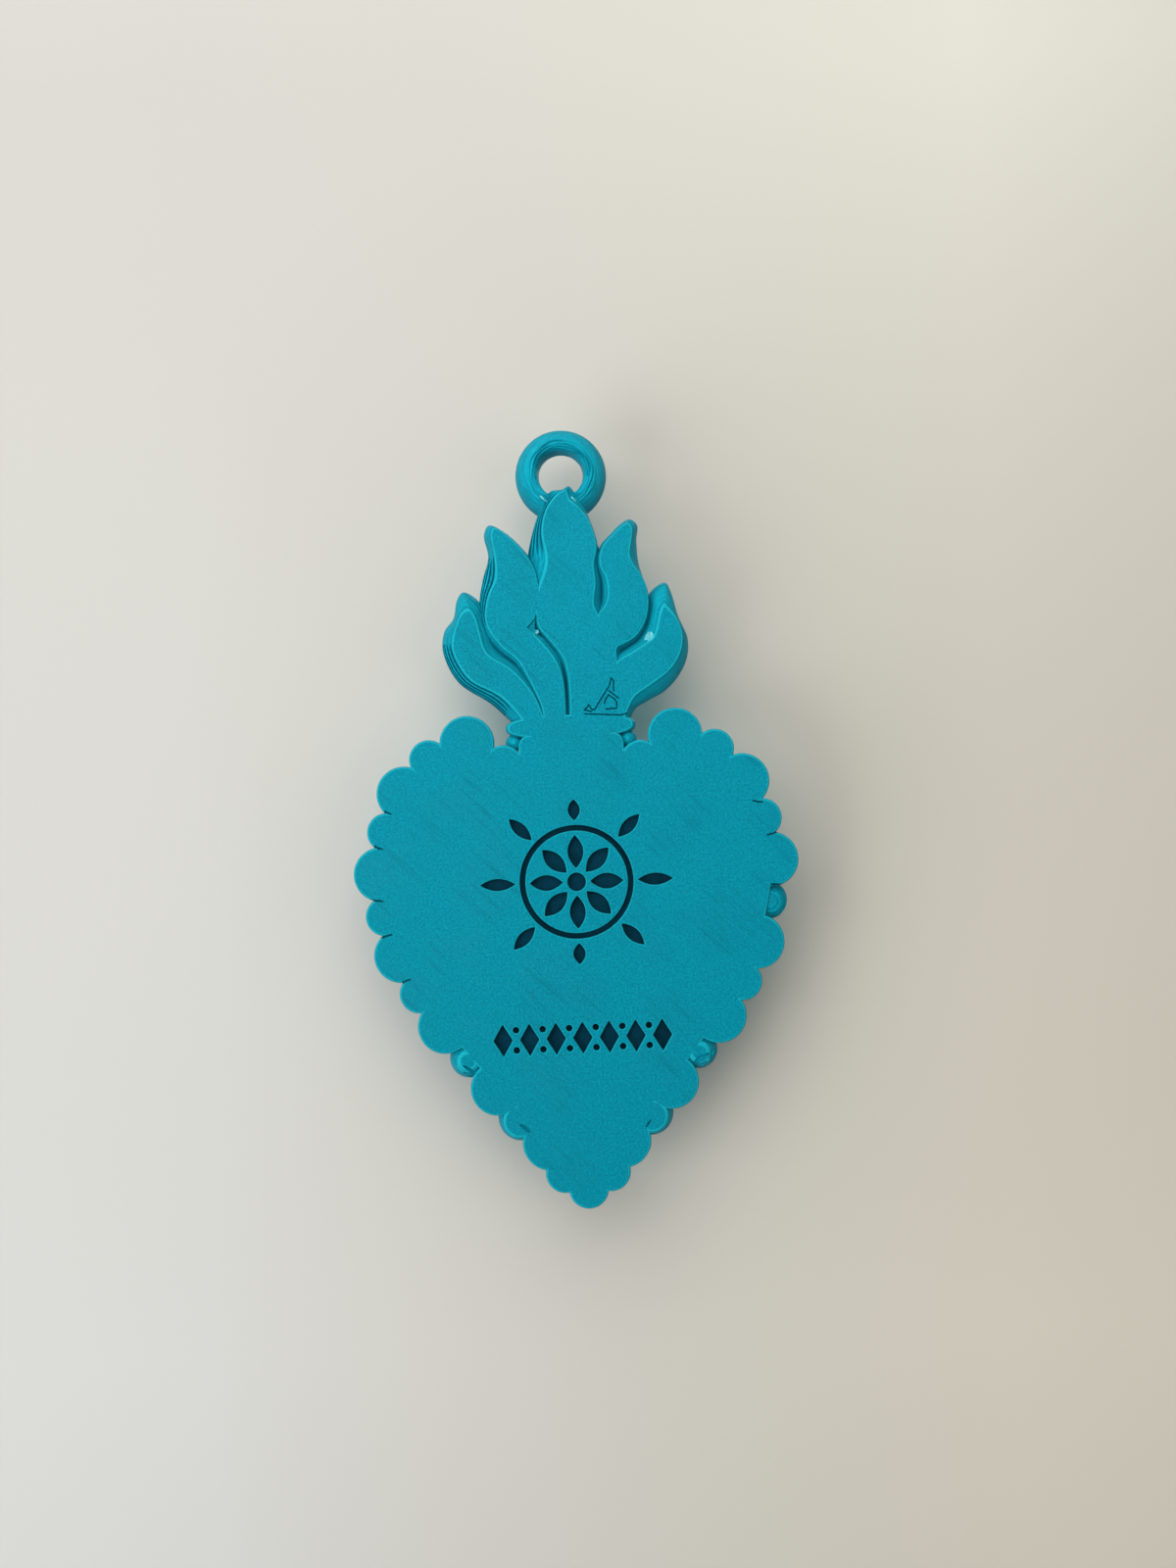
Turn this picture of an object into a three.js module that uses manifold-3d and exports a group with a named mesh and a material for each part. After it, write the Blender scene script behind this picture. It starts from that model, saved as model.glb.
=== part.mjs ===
// Sacred heart ex-voto: a flat-backed heart with a border of beads, a collar, five flames and a ring.
// It is drawn as its flat back is seen: x to the right, y up from the centre of the bead at the tip,
// and z towards the eye, with the back at z = 0 and the relief below it. Sizes are in millimetres.
import * as THREE from "three";
import { mergeVertices } from "three/addons/utils/BufferGeometryUtils.js";
import Module from "manifold-3d";

const wasm = await Module();
wasm.setup();

// Colour of the printed plastic
const TEAL = 0x0a91a9;

// Gap that neighbouring pieces keep, how far the cutters rise above the back, and how near two corners
// lie that are one
const CLEARANCE = 0.3;
const CUTTER_RISE = 1;
const SAME_PLACE = 1e-4;

// Heart: its half outline is three cubic arcs, from the tip to the widest place, the shoulder, the cleft
const HEART_HALF_WIDTH = 42.6;
const WIDEST_HEIGHT = 69.7;
const SHOULDER_X = 22.8;
const SHOULDER_HEIGHT = 98.2;
const CLEFT_DROP = 11.8;
const TIP_HANDLE_X = 9.3;
const TIP_HANDLE_Y = 14.8;
const SIDE_HANDLE_DOWN = 28.5;
const SIDE_HANDLE_UP = 9.7;
const SHOULDER_HANDLE = 11.4;
const CLEFT_HANDLE = 6.4;
const OUTLINE_STEPS = 44;

// Dome: the depth of its edge and its middle, where its top lies, and the oval that it rounds off into
const HEART_EDGE = 3;
const HEART_DEPTH = 20;
const DOME_HEIGHT = 60;
const OVAL_HALF_WIDTH = 40;
const OVAL_HALF_HEIGHT = 44;
const DOME_STEPS = 7;

// Border beads: large and small by turns, evenly spaced up to a distance from the cleft, and closer
// together towards the tip
const LARGE_BEAD_RADIUS = 6;
const SMALL_BEAD_RADIUS = 4.3;
const TIP_BEAD_RADIUS = 4.4;
const LAST_BEAD_FROM_CLEFT = 16.6;
const PITCH_LOSS_AT_TIP = 3.37;
const PITCH_LOSS_FADES = 2;
const SMALL_BEAD_OUT = 2;
const SMALL_OUT_FADES = 5;
const BEADS_PER_SIDE = 15;
const BEAD_SINK = 1;
const BEAD_STEPS = 16;

// Small beads that lie deeper than the rest, by their place counted from the tip: how much larger they
// are, and how deep their centres lie
const SUNK_BEADS = {
  left: { 2: [0.7, 3.6], 4: [0, 3.9] },
  right: { 2: [0.6, 3.6], 4: [0, 3.9], 8: [0, 4.7] },
};

// Neck stub: it stands in the heart, has a round shoulder and ends as a narrower stub in the collar
const NECK_HALF_WIDTH = 11.5;
const NECK_DEPTH = 8;
const NECK_FOOT = 6;
const NECK_SHOULDER = 2.4;
const NECK_SHOULDER_DROP = 1.6;
const NECK_STEPS = 28;
const NECK_SHOULDER_STEPS = 3;

// Collar: it stands out from the neck on every side and has a blunt rim, blunter than an oval's
const COLLAR_RISE = 2.8;
const COLLAR_OVERHANG = 2.8;
const COLLAR_FRONT_OVERHANG = 3.5;
const COLLAR_THICKNESS = 5.2;
const COLLAR_SINK = 2.7;
const COLLAR_BLUNTNESS = 2.7;
const COLLAR_STEPS = 28;
const COLLAR_PROFILE_STEPS = 12;

// Row of small beads round the neck, under the collar
const NECK_BEAD_COUNT = 9;
const NECK_BEAD_RADIUS = 1.9;
const NECK_BEAD_SINK = 2.5;
const NECK_BEAD_STANDOFF = 1;
const NECK_BEAD_DROP = 3.1;
const NECK_BEAD_STEPS = 12;

// Flames: how deep their widest outline lies, and the steps round a section
const FLAME_MIDDLE = 4;
const FLAME_STEPS = 24;
const FLAME_BACK_STEPS = 2;
const FLAME_FRONT_STEPS = 3;

// Hanging ring: deeper than it is wide in section. Its centre stands over the tip of the central flame.
const RING_RADIUS = 7.5;
const RING_HALF_WIDTH = 2.6;
const RING_HALF_DEPTH = 4.2;
const RING_SINK = 5.6;
const RING_OVER_TIP = 4.4;
const RING_STEPS = 40;
const RING_TUBE_STEPS = 12;

// Engraved ornament on the back
const ENGRAVING_DEPTH = 1.2;
const ROSETTE_HEIGHT = 67;
const ROSETTE_PETALS = 8;
const ROSETTE_MIDDLE = 2;
const PETAL_WIDTH = 3.4;
const BAND_RADIUS = 12.4;
const BAND_WIDTH = 1.2;
const LEAF_LENGTH = 4.6;
const LEAF_SIDE_GAIN = 3;
const LEAF_WIDTH = 2.6;
const ENGRAVING_GAP = 1;
const ENGRAVING_STEPS = 8;
const STRIP_HEIGHT = 33;
const STRIP_PITCH = 5.8;
const STRIP_LOZENGES = 7;
const LOZENGE_HALF_WIDTH = 2.1;
const LOZENGE_HALF_HEIGHT = 3.5;
const DOT_RADIUS = 0.7;
const DOT_RISE = 2.2;

// Flame outlines from the collar's centre. Each edge is a list of stations from the root up, each one
// [flat across, flat up, body across, body up]: the edge of the flat back there, and the edge of the
// body, which swells past the flat as it goes deeper. The crest is how far the front rises over the body.
const FLAMES = {
  flame_centre: {
    left: [[0, 0, -0.9, 0], [0.2, 5.5, -0.7, 5.5], [0, 10.9, -0.9, 11.1], [-0.9, 15, -2.6, 15.7],
      [-3.4, 18.5, -5.2, 19.4], [-5.9, 21.8, -7, 22.3], [-6.4, 25, -7, 25], [-5.9, 29, -8, 29.4],
      [-3.5, 36, -8.1, 37], [-4.4, 42.8, -6.4, 44.2], [-3.2, 47.6, -4.3, 49.2],
      [-0.6, 50.6, -2, 52.3]],
    tip: [1.1, 51.5, 1.8, 53.1],
    right: [[4.2, 0, 4.8, 0], [5, 6, 5.8, 6], [5.8, 11, 6.6, 11], [6.6, 15.5, 7.4, 15.5],
      [7, 19.5, 8, 19.5], [7.1, 23.4, 8.2, 23.4], [6, 26.4, 8, 26.4], [6.6, 31, 8.2, 31],
      [6.35, 35, 7.8, 35], [7.2, 39, 7.8, 39], [5.6, 44.9, 6.2, 45.3], [3.6, 47.6, 4.8, 48.5],
      [1.6, 49.4, 3.2, 51.3]],
    crest: 7,
  },
  flame_left_inner: {
    left: [[-5.4, 0, -6.4, 0], [-6, 4.5, -7, 4.2], [-6.9, 6.9, -7.9, 6.5], [-8.8, 11.2, -9.9, 10.7],
      [-10.8, 14.8, -12, 14.1], [-14.15, 17.9, -15.3, 17], [-16.7, 21.45, -18.2, 20.7],
      [-17.5, 24.5, -19.2, 24.5], [-16.6, 29, -18.95, 29], [-14.8, 33, -18.1, 33.2],
      [-15, 38.4, -16.7, 38.1], [-15.5, 42, -17.5, 43]],
    tip: [-14.9, 43.7, -16.4, 45.1],
    right: [[-1, 0, -0.4, 0], [-1, 6.9, -0.4, 6.9], [-1.3, 10.4, -0.7, 10.6],
      [-2.3, 13.65, -1, 14.4], [-3.9, 16.2, -2.2, 17.4], [-5.6, 18.4, -4.1, 19.8],
      [-7.2, 20.6, -6.2, 21.4], [-6.7, 24.3, -6.1, 24.4], [-5.1, 27, -4.8, 27],
      [-5.8, 31, -5.3, 31.2], [-6.6, 34.6, -6.1, 34.9], [-9.3, 39.1, -8.9, 39.6],
      [-13.2, 42.9, -13.5, 43.9]],
    crest: 6,
  },
  flame_right_inner: {
    left: [[2.6, 0, 2.2, 0], [4, 9, 3.6, 9], [5.4, 18, 5, 18], [7.06, 24, 6.4, 24.2],
      [8.9, 26.3, 7.6, 26.6], [9.5, 29, 7.9, 29.2], [9.2, 31.9, 7.6, 32], [8, 34.5, 6.9, 34.8],
      [7.9, 36.9, 7.1, 37.2], [9.05, 39.4, 8.3, 40], [11, 41.3, 10.2, 42], [13.2, 43.2, 12.8, 44.4]],
    tip: [14.3, 43.6, 14.9, 45.3],
    right: [[9.4, 0, 9.8, 0], [10.2, 8, 10.7, 8], [10.7, 13.2, 11.4, 13], [10.7, 16.7, 11.9, 16],
      [12.55, 17.64, 13.2, 16.9], [14.9, 19, 15.5, 18.4], [17, 21.9, 17.5, 21.6],
      [18, 25.5, 18.4, 25.4], [17.8, 29.4, 18.2, 29.2], [16.9, 32, 17.4, 31.8],
      [14.3, 36.4, 16.4, 36], [14.9, 40.4, 16.2, 41], [15.1, 42.4, 16.5, 43.9]],
    crest: 6,
  },
  flame_left_outer: {
    left: [[-8.8, 0, -11.6, 0], [-14.4, 6.9, -17.2, 5.6], [-21.4, 11.2, -24.4, 10.8],
      [-24.8, 17.6, -27.5, 17.6], [-24.5, 20.7, -27.1, 22], [-23.9, 22.9, -24.9, 25],
      [-22.6, 25.2, -24, 29]],
    tip: [-21, 25.9, -22.6, 30.7],
    right: [[-5, 0, -4.2, 0], [-8, 7.3, -6.6, 8], [-12.3, 12.6, -10.5, 13.6],
      [-17.8, 16.6, -15.6, 18.3], [-19.2, 21.2, -16.9, 24], [-20, 24.6, -19.6, 29]],
    crest: 5,
  },
  flame_right_outer: {
    left: [[8.4, 0, 8, 0], [8.8, 6, 8.2, 6], [9.2, 10.6, 8.6, 11.2], [10.78, 13.44, 9.6, 14.8],
      [13.8, 15.2, 12.8, 17.2], [16.8, 17, 15.6, 19], [19.3, 18.9, 17, 21.6],
      [20.3, 22.1, 17.9, 25.5], [20.8, 23.9, 18.7, 29]],
    tip: [21.5, 25.1, 22.1, 31.1],
    right: [[11.4, 0, 12.8, 0], [12.6, 3.3, 14.4, 3.4], [14, 6, 17.3, 5.1], [17.8, 8.6, 21.2, 7.2],
      [21.8, 11.4, 24.4, 10.5], [24.2, 14.6, 26.3, 14.3], [25.1, 18.2, 26.6, 18.6],
      [24.4, 21.9, 24.6, 23.8], [22.8, 24, 23.3, 29]],
    crest: 5,
  },
};

const CLEFT_HEIGHT = SHOULDER_HEIGHT - CLEFT_DROP;
const COLLAR_HEIGHT = SHOULDER_HEIGHT + COLLAR_RISE;
const RING_HEIGHT = COLLAR_HEIGHT + FLAMES.flame_centre.tip[1] + RING_OVER_TIP;

// Solids

// A closed geometry as a solid for joining and cutting
function solid(geometry) {
  const bare = geometry.index ? geometry.toNonIndexed() : geometry.clone();
  bare.deleteAttribute("normal");
  bare.deleteAttribute("uv");
  const merged = mergeVertices(bare, SAME_PLACE);
  const corners = merged.index.array;
  const kept = [];
  for (let i = 0; i < corners.length; i += 3) {
    const [a, b, c] = [corners[i], corners[i + 1], corners[i + 2]];
    if (a !== b && b !== c && c !== a) kept.push(a, b, c);
  }
  return new wasm.Manifold(
    new wasm.Mesh({
      numProp: 3,
      vertProperties: merged.attributes.position.array,
      triVerts: new Uint32Array(kept),
    }),
  );
}

// A solid back as a geometry that a mesh can show
function geometryOf(form) {
  const mesh = form.getMesh();
  const geometry = new THREE.BufferGeometry();
  geometry.setAttribute("position", new THREE.BufferAttribute(mesh.vertProperties, 3));
  geometry.setIndex(new THREE.BufferAttribute(mesh.triVerts, 1));
  geometry.computeVertexNormals();
  return geometry;
}

// Everything behind the flat back, taken off a form that was drawn whole
function trimAtBack(form) {
  const span = 4 * SHOULDER_HEIGHT;
  const slab = new THREE.BoxGeometry(span, span, HEART_DEPTH);
  slab.translate(0, COLLAR_HEIGHT, HEART_DEPTH / 2);
  return form.subtract(solid(slab));
}

// A skin over rings of equal length. The first ring is closed by a flat face, and the last one has to
// close on itself, in a point or along a crest.
function skin(rings) {
  const count = rings[0].length;
  if (THREE.ShapeUtils.isClockWise(rings[0])) rings.forEach((ring) => ring.reverse());
  const positions = rings.flat().flatMap((p) => [p.x, p.y, p.z]);
  const index = [];
  const outline = rings[0].map((p) => new THREE.Vector2(p.x, p.y));
  for (const [a, b, c] of THREE.ShapeUtils.triangulateShape(outline, [])) index.push(a, b, c);
  for (let k = 0; k + 1 < rings.length; k++)
    for (let i = 0; i < count; i++) {
      const j = (i + 1) % count;
      const [a, b, c, d] = [k * count + i, k * count + j, (k + 1) * count + j, (k + 1) * count + i];
      index.push(a, d, c, a, c, b);
    }
  const geometry = new THREE.BufferGeometry();
  geometry.setAttribute("position", new THREE.Float32BufferAttribute(positions, 3));
  geometry.setIndex(index);
  return solid(geometry);
}

// Heart

// The right half of the heart's outline, from the tip up
function heartCurve() {
  const curve = new THREE.Path();
  curve.moveTo(0, 0);
  curve.bezierCurveTo(
    TIP_HANDLE_X, TIP_HANDLE_Y,
    HEART_HALF_WIDTH, WIDEST_HEIGHT - SIDE_HANDLE_DOWN,
    HEART_HALF_WIDTH, WIDEST_HEIGHT,
  );
  curve.bezierCurveTo(
    HEART_HALF_WIDTH, WIDEST_HEIGHT + SIDE_HANDLE_UP,
    SHOULDER_X + SHOULDER_HANDLE, SHOULDER_HEIGHT,
    SHOULDER_X, SHOULDER_HEIGHT,
  );
  curve.bezierCurveTo(
    SHOULDER_X, SHOULDER_HEIGHT,
    CLEFT_HANDLE, CLEFT_HEIGHT,
    0, CLEFT_HEIGHT,
  );
  return curve;
}

// The point and the outward direction at a distance along the half outline
function onHeart(curve, distance) {
  const share = distance / curve.getLength();
  const point = curve.getPointAt(share);
  const along = curve.getTangentAt(share);
  return { point, out: new THREE.Vector2(along.y, -along.x) };
}

// The whole outline, moved outwards by grow
function heartOutline(grow) {
  const curve = heartCurve();
  const length = curve.getLength();
  const right = [];
  for (let i = 1; i < OUTLINE_STEPS; i++) {
    const { point, out } = onHeart(curve, (length * i) / OUTLINE_STEPS);
    right.push(point.addScaledVector(out, grow));
  }
  const left = right.map((p) => new THREE.Vector2(-p.x, p.y)).reverse();
  return [new THREE.Vector2(0, -grow), ...right, new THREE.Vector2(0, CLEFT_HEIGHT + grow), ...left];
}

// The flat-backed dome: as it goes deeper the outline shrinks towards one point, and rounds off from a
// heart into an oval
function dome(grow) {
  const middle = new THREE.Vector2(0, DOME_HEIGHT);
  const outline = heartOutline(grow).map((p) => p.sub(middle));
  const oval = outline.map((p) => {
    const angle = p.angle();
    return new THREE.Vector2(OVAL_HALF_WIDTH * Math.cos(angle), OVAL_HALF_HEIGHT * Math.sin(angle));
  });
  const ring = (scale, z) =>
    outline.map((p, i) => {
      const { x, y } = oval[i].clone().lerp(p, scale ** 2).multiplyScalar(scale).add(middle);
      return new THREE.Vector3(x, y, z);
    });
  const rings = [ring(1, grow), ring(1, -HEART_EDGE)];
  for (let i = 1; i <= DOME_STEPS; i++) {
    const angle = (Math.PI / 2) * (i / DOME_STEPS);
    const rise = (HEART_DEPTH - HEART_EDGE + grow) * Math.sin(angle);
    rings.push(ring(Math.cos(angle), -HEART_EDGE - rise));
  }
  return skin(rings);
}

// The stub between the heart's lobes that the collar goes round
function neck(grow) {
  const foot = CLEFT_HEIGHT - NECK_FOOT - COLLAR_HEIGHT;
  const half = NECK_HALF_WIDTH + grow;
  const round = new THREE.Vector2(half - NECK_SHOULDER, grow - NECK_SHOULDER_DROP - NECK_SHOULDER);
  const profile = [new THREE.Vector2(0, foot), new THREE.Vector2(half, foot)];
  for (let i = 0; i <= NECK_SHOULDER_STEPS; i++) {
    const angle = (Math.PI / 2) * (i / NECK_SHOULDER_STEPS);
    const corner = new THREE.Vector2(Math.cos(angle), Math.sin(angle));
    profile.push(corner.multiplyScalar(NECK_SHOULDER).add(round));
  }
  profile.push(new THREE.Vector2(round.x, grow), new THREE.Vector2(0, grow));
  const column = new THREE.LatheGeometry(profile, NECK_STEPS);
  column.scale(1, 1, (NECK_DEPTH + grow) / half);
  column.translate(0, COLLAR_HEIGHT, 0);
  return solid(column);
}

// A pocket in the back, as deep as the engraving
function pocket(shape, x, y, turn) {
  const depth = ENGRAVING_DEPTH + CUTTER_RISE;
  const options = { depth, bevelEnabled: false, curveSegments: ENGRAVING_STEPS };
  const cutter = new THREE.ExtrudeGeometry(shape, options);
  cutter.rotateZ(turn);
  cutter.translate(x, y, -ENGRAVING_DEPTH);
  return solid(cutter);
}

// A petal that starts at a distance from the middle and is pointed at both ends
function petalShape(from, to, width) {
  const shape = new THREE.Shape();
  const middle = (from + to) / 2;
  shape.moveTo(0, from);
  shape.quadraticCurveTo(width, middle, 0, to);
  shape.quadraticCurveTo(-width, middle, 0, from);
  return shape;
}

function discShape(radius) {
  const shape = new THREE.Shape();
  shape.absarc(0, 0, radius, 0, 2 * Math.PI, false);
  return shape;
}

function bandShape(radius, width) {
  const shape = discShape(radius);
  const hole = new THREE.Path();
  hole.absarc(0, 0, radius - width, 0, 2 * Math.PI, true);
  shape.holes.push(hole);
  return shape;
}

function lozengeShape(halfWidth, halfHeight) {
  const corners = [[halfWidth, 0], [0, halfHeight], [-halfWidth, 0], [0, -halfHeight]];
  return new THREE.Shape(corners.map(([x, y]) => new THREE.Vector2(x, y)));
}

// A rosette in a band, with leaves that point away from it on every side
function rosettePockets() {
  const middle = discShape(ROSETTE_MIDDLE);
  const band = bandShape(BAND_RADIUS, BAND_WIDTH);
  const petalEnd = BAND_RADIUS - BAND_WIDTH - ENGRAVING_GAP;
  const petal = petalShape(ROSETTE_MIDDLE + ENGRAVING_GAP, petalEnd, PETAL_WIDTH);
  const pockets = [middle, band].map((shape) => pocket(shape, 0, ROSETTE_HEIGHT, 0));
  for (let i = 0; i < ROSETTE_PETALS; i++) {
    const turn = (2 * Math.PI * i) / ROSETTE_PETALS;
    const sideways = Math.abs(Math.sin(turn));
    const leafStart = BAND_RADIUS + ENGRAVING_GAP;
    const leaf = petalShape(leafStart, leafStart + LEAF_LENGTH + LEAF_SIDE_GAIN * sideways, LEAF_WIDTH);
    pockets.push(pocket(petal, 0, ROSETTE_HEIGHT, turn), pocket(leaf, 0, ROSETTE_HEIGHT, turn));
  }
  return pockets;
}

// A row of lozenges with dots between them
function stripPockets() {
  const lozenge = lozengeShape(LOZENGE_HALF_WIDTH, LOZENGE_HALF_HEIGHT);
  const dot = discShape(DOT_RADIUS);
  const pockets = [];
  for (let i = 0; i < STRIP_LOZENGES; i++) {
    const x = (i - (STRIP_LOZENGES - 1) / 2) * STRIP_PITCH;
    pockets.push(pocket(lozenge, x, STRIP_HEIGHT, 0));
    if (i === 0) continue;
    for (const rise of [-DOT_RISE, DOT_RISE])
      pockets.push(pocket(dot, x - STRIP_PITCH / 2, STRIP_HEIGHT + rise, 0));
  }
  return pockets;
}

const heartForm = (grow) => dome(grow).add(neck(grow));

function heartBody() {
  let body = trimAtBack(heartForm(0));
  for (const cutter of [...rosettePockets(), ...stripPockets()]) body = body.subtract(cutter);
  return body;
}

// Beads

function ball(radius, x, y, sink, steps) {
  const sphere = new THREE.SphereGeometry(radius, steps, steps / 2);
  sphere.rotateX(Math.PI / 2);
  sphere.translate(x, y, -sink);
  return solid(sphere);
}

// Where each border bead of one side stands, counted from the tip
function borderBeads(side) {
  const curve = heartCurve();
  const beads = [];
  const places = Array.from({ length: BEADS_PER_SIDE }, (_, k) => k);
  const losses = places.map((k) => PITCH_LOSS_AT_TIP * Math.exp(-k / PITCH_LOSS_FADES));
  const lost = losses.reduce((sum, loss) => sum + loss, 0);
  const pitch = (curve.getLength() - LAST_BEAD_FROM_CLEFT + lost) / BEADS_PER_SIDE;
  let distance = 0;
  for (const k of places) {
    distance += pitch - losses[k];
    const { point, out } = onHeart(curve, distance);
    const small = k % 2 === 0;
    const [gain, sink] = SUNK_BEADS[side][k] ?? [0, BEAD_SINK];
    if (small) point.addScaledVector(out, SMALL_BEAD_OUT * Math.exp(-k / SMALL_OUT_FADES));
    beads.push({
      name: "border_bead_" + side + "_" + String(BEADS_PER_SIDE - 1 - k).padStart(2, "0"),
      x: side === "left" ? -point.x : point.x,
      y: point.y,
      radius: (small ? SMALL_BEAD_RADIUS : LARGE_BEAD_RADIUS) + gain,
      sink,
      small,
    });
  }
  return beads;
}

// The row round the neck: half an ellipse, from one side of the back round the front to the other
function neckBeads() {
  const row = new THREE.EllipseCurve(
    0, -NECK_BEAD_SINK,
    NECK_HALF_WIDTH + NECK_BEAD_STANDOFF, NECK_DEPTH + NECK_BEAD_STANDOFF - NECK_BEAD_SINK,
    Math.PI, 2 * Math.PI, false, 0,
  );
  return row.getSpacedPoints(NECK_BEAD_COUNT - 1).map((p, i) => ({
    name: "neck_bead_" + (i + 1),
    x: p.x,
    y: COLLAR_HEIGHT - NECK_BEAD_DROP,
    radius: NECK_BEAD_RADIUS,
    sink: -p.y,
  }));
}

// Collar: a blunt disc, squeezed from the front and sunk into the back
function collarForm(grow) {
  const half = NECK_HALF_WIDTH + COLLAR_OVERHANG + grow;
  const blunt = (share) => Math.sign(share) * Math.abs(share) ** (2 / COLLAR_BLUNTNESS);
  const profile = [];
  for (let i = 0; i <= COLLAR_PROFILE_STEPS; i++) {
    const angle = Math.PI * (i / COLLAR_PROFILE_STEPS - 0.5);
    const across = half * blunt(Math.max(Math.cos(angle), 0));
    profile.push(new THREE.Vector2(across, (COLLAR_THICKNESS / 2 + grow) * blunt(Math.sin(angle))));
  }
  const disc = new THREE.LatheGeometry(profile, COLLAR_STEPS);
  disc.scale(1, 1, (NECK_DEPTH + COLLAR_FRONT_OVERHANG - COLLAR_SINK + grow) / half);
  disc.translate(0, COLLAR_HEIGHT, -COLLAR_SINK);
  return solid(disc);
}

// Flames

// One outline of a flame, from the root's left over the tip to the root's right, moved outwards by
// grow. Column 0 of the stations holds the flat back's outline, and column 2 the body's.
function flameOutline(flame, column, grow) {
  const stations = [...flame.left, flame.tip, ...flame.right.toReversed()];
  const points = stations.map((row) => new THREE.Vector3(row[column], row[column + 1], 0));
  const curve = new THREE.CatmullRomCurve3(points, false, "centripetal");
  const tipAt = flame.left.length / (stations.length - 1);
  const outline = [];
  for (let i = 0; i <= 2 * FLAME_STEPS; i++) {
    const share = i / FLAME_STEPS;
    const t = share < 1 ? tipAt * share : tipAt + (1 - tipAt) * (share - 1);
    const along = curve.getTangent(t);
    const out = new THREE.Vector2(-along.y, along.x);
    if (i === 0) out.set(-1, 0);
    if (i === 2 * FLAME_STEPS) out.set(1, 0);
    const { x, y } = curve.getPoint(t);
    outline.push(new THREE.Vector2(x, y).addScaledVector(out.normalize(), grow));
  }
  return outline;
}

// A flame: it swells from the flat back to its body's outline, then closes over the crest in front
function flameForm(name, grow) {
  const flame = FLAMES[name];
  const flat = flameOutline(flame, 0, grow);
  const body = flameOutline(flame, 2, grow);
  const crest = body.map((p, i) => p.clone().lerp(body[2 * FLAME_STEPS - i], 0.5));
  const at = (p, z) => new THREE.Vector3(p.x, p.y + COLLAR_HEIGHT, z);
  const rings = [flat.map((p) => at(p, grow))];
  for (let k = grow > 0 ? 0 : 1; k <= FLAME_BACK_STEPS; k++) {
    const angle = (Math.PI / 4) * (1 + k / FLAME_BACK_STEPS);
    const out = (Math.sin(angle) - Math.SQRT1_2) / (1 - Math.SQRT1_2);
    const z = -FLAME_MIDDLE * (1 - Math.cos(angle) * Math.SQRT2);
    rings.push(flat.map((p, i) => at(p.clone().lerp(body[i], out), z)));
  }
  for (let k = 1; k <= FLAME_FRONT_STEPS; k++) {
    const angle = (Math.PI / 2) * (k / FLAME_FRONT_STEPS);
    rings.push(
      body.map((p, i) => {
        const up = 1 - Math.abs(i - FLAME_STEPS) / FLAME_STEPS;
        const rise = (flame.crest + grow) * Math.sqrt(1 - up ** 3) * Math.sin(angle);
        return at(crest[i].clone().lerp(p, Math.cos(angle)), -FLAME_MIDDLE - rise);
      }),
    );
  }
  return skin(rings);
}

// Ring

function ringForm() {
  const torus = new THREE.TorusGeometry(RING_RADIUS, RING_HALF_WIDTH, RING_TUBE_STEPS, RING_STEPS);
  torus.scale(1, 1, RING_HALF_DEPTH / RING_HALF_WIDTH);
  torus.translate(0, RING_HEIGHT, -RING_SINK);
  return solid(torus);
}

// Assembly

const exVoto = new THREE.Group();
exVoto.rotation.x = Math.PI / 2;
exVoto.position.z = -RING_HEIGHT;

function place(name, form) {
  const plastic = new THREE.MeshStandardMaterial({ color: TEAL, roughness: 0.42, metalness: 0.05 });
  const mesh = new THREE.Mesh(geometryOf(form), plastic);
  mesh.name = name;
  exVoto.add(mesh);
}

const heartCutter = heartForm(CLEARANCE);
const collarCutter = collarForm(CLEARANCE);
place("heart_body", heartBody());
place("collar", trimAtBack(collarForm(0)).subtract(neck(CLEARANCE)));

// Each flame gives way to the ones nearer the middle
const cutBy = {
  flame_centre: [],
  flame_left_inner: ["flame_centre"],
  flame_right_inner: ["flame_centre"],
  flame_left_outer: ["flame_centre", "flame_left_inner"],
  flame_right_outer: ["flame_centre", "flame_right_inner"],
};
for (const [name, nearer] of Object.entries(cutBy)) {
  let form = flameForm(name, 0).subtract(collarCutter);
  for (const other of nearer) form = form.subtract(flameForm(other, CLEARANCE));
  place(name, form);
}
place("hanging_ring", ringForm().subtract(flameForm("flame_centre", CLEARANCE)));

// All border beads give way to the heart and the collar, and the small ones to the large ones as well
const tipBead = { name: "border_bead_tip", x: 0, y: 0, radius: TIP_BEAD_RADIUS, sink: BEAD_SINK };
const sides = [borderBeads("left"), borderBeads("right")];
const beadForm = (bead, grow) => ball(bead.radius + grow, bead.x, bead.y, bead.sink, BEAD_STEPS);
const trimmedBead = (bead) => trimAtBack(beadForm(bead, 0)).subtract(heartCutter).subtract(collarCutter);
place(tipBead.name, trimmedBead(tipBead));
for (const beads of sides)
  beads.forEach((bead, k) => {
    let form = trimmedBead(bead);
    const neighbours = bead.small ? [beads[k - 1] ?? tipBead, beads[k + 1]] : [];
    for (const other of neighbours) if (other) form = form.subtract(beadForm(other, CLEARANCE));
    place(bead.name, form);
  });

// Neck beads give way to the neck, the collar and the last border beads
for (const bead of neckBeads()) {
  let form = ball(bead.radius, bead.x, bead.y, bead.sink, NECK_BEAD_STEPS);
  form = form.subtract(heartCutter).subtract(collarCutter);
  for (const beads of sides) form = form.subtract(beadForm(beads[BEADS_PER_SIDE - 1], CLEARANCE));
  place(bead.name, form);
}

export default exVoto;
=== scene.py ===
import math
import bmesh
import bpy
import numpy as np
from mathutils import Matrix, Vector


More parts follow.
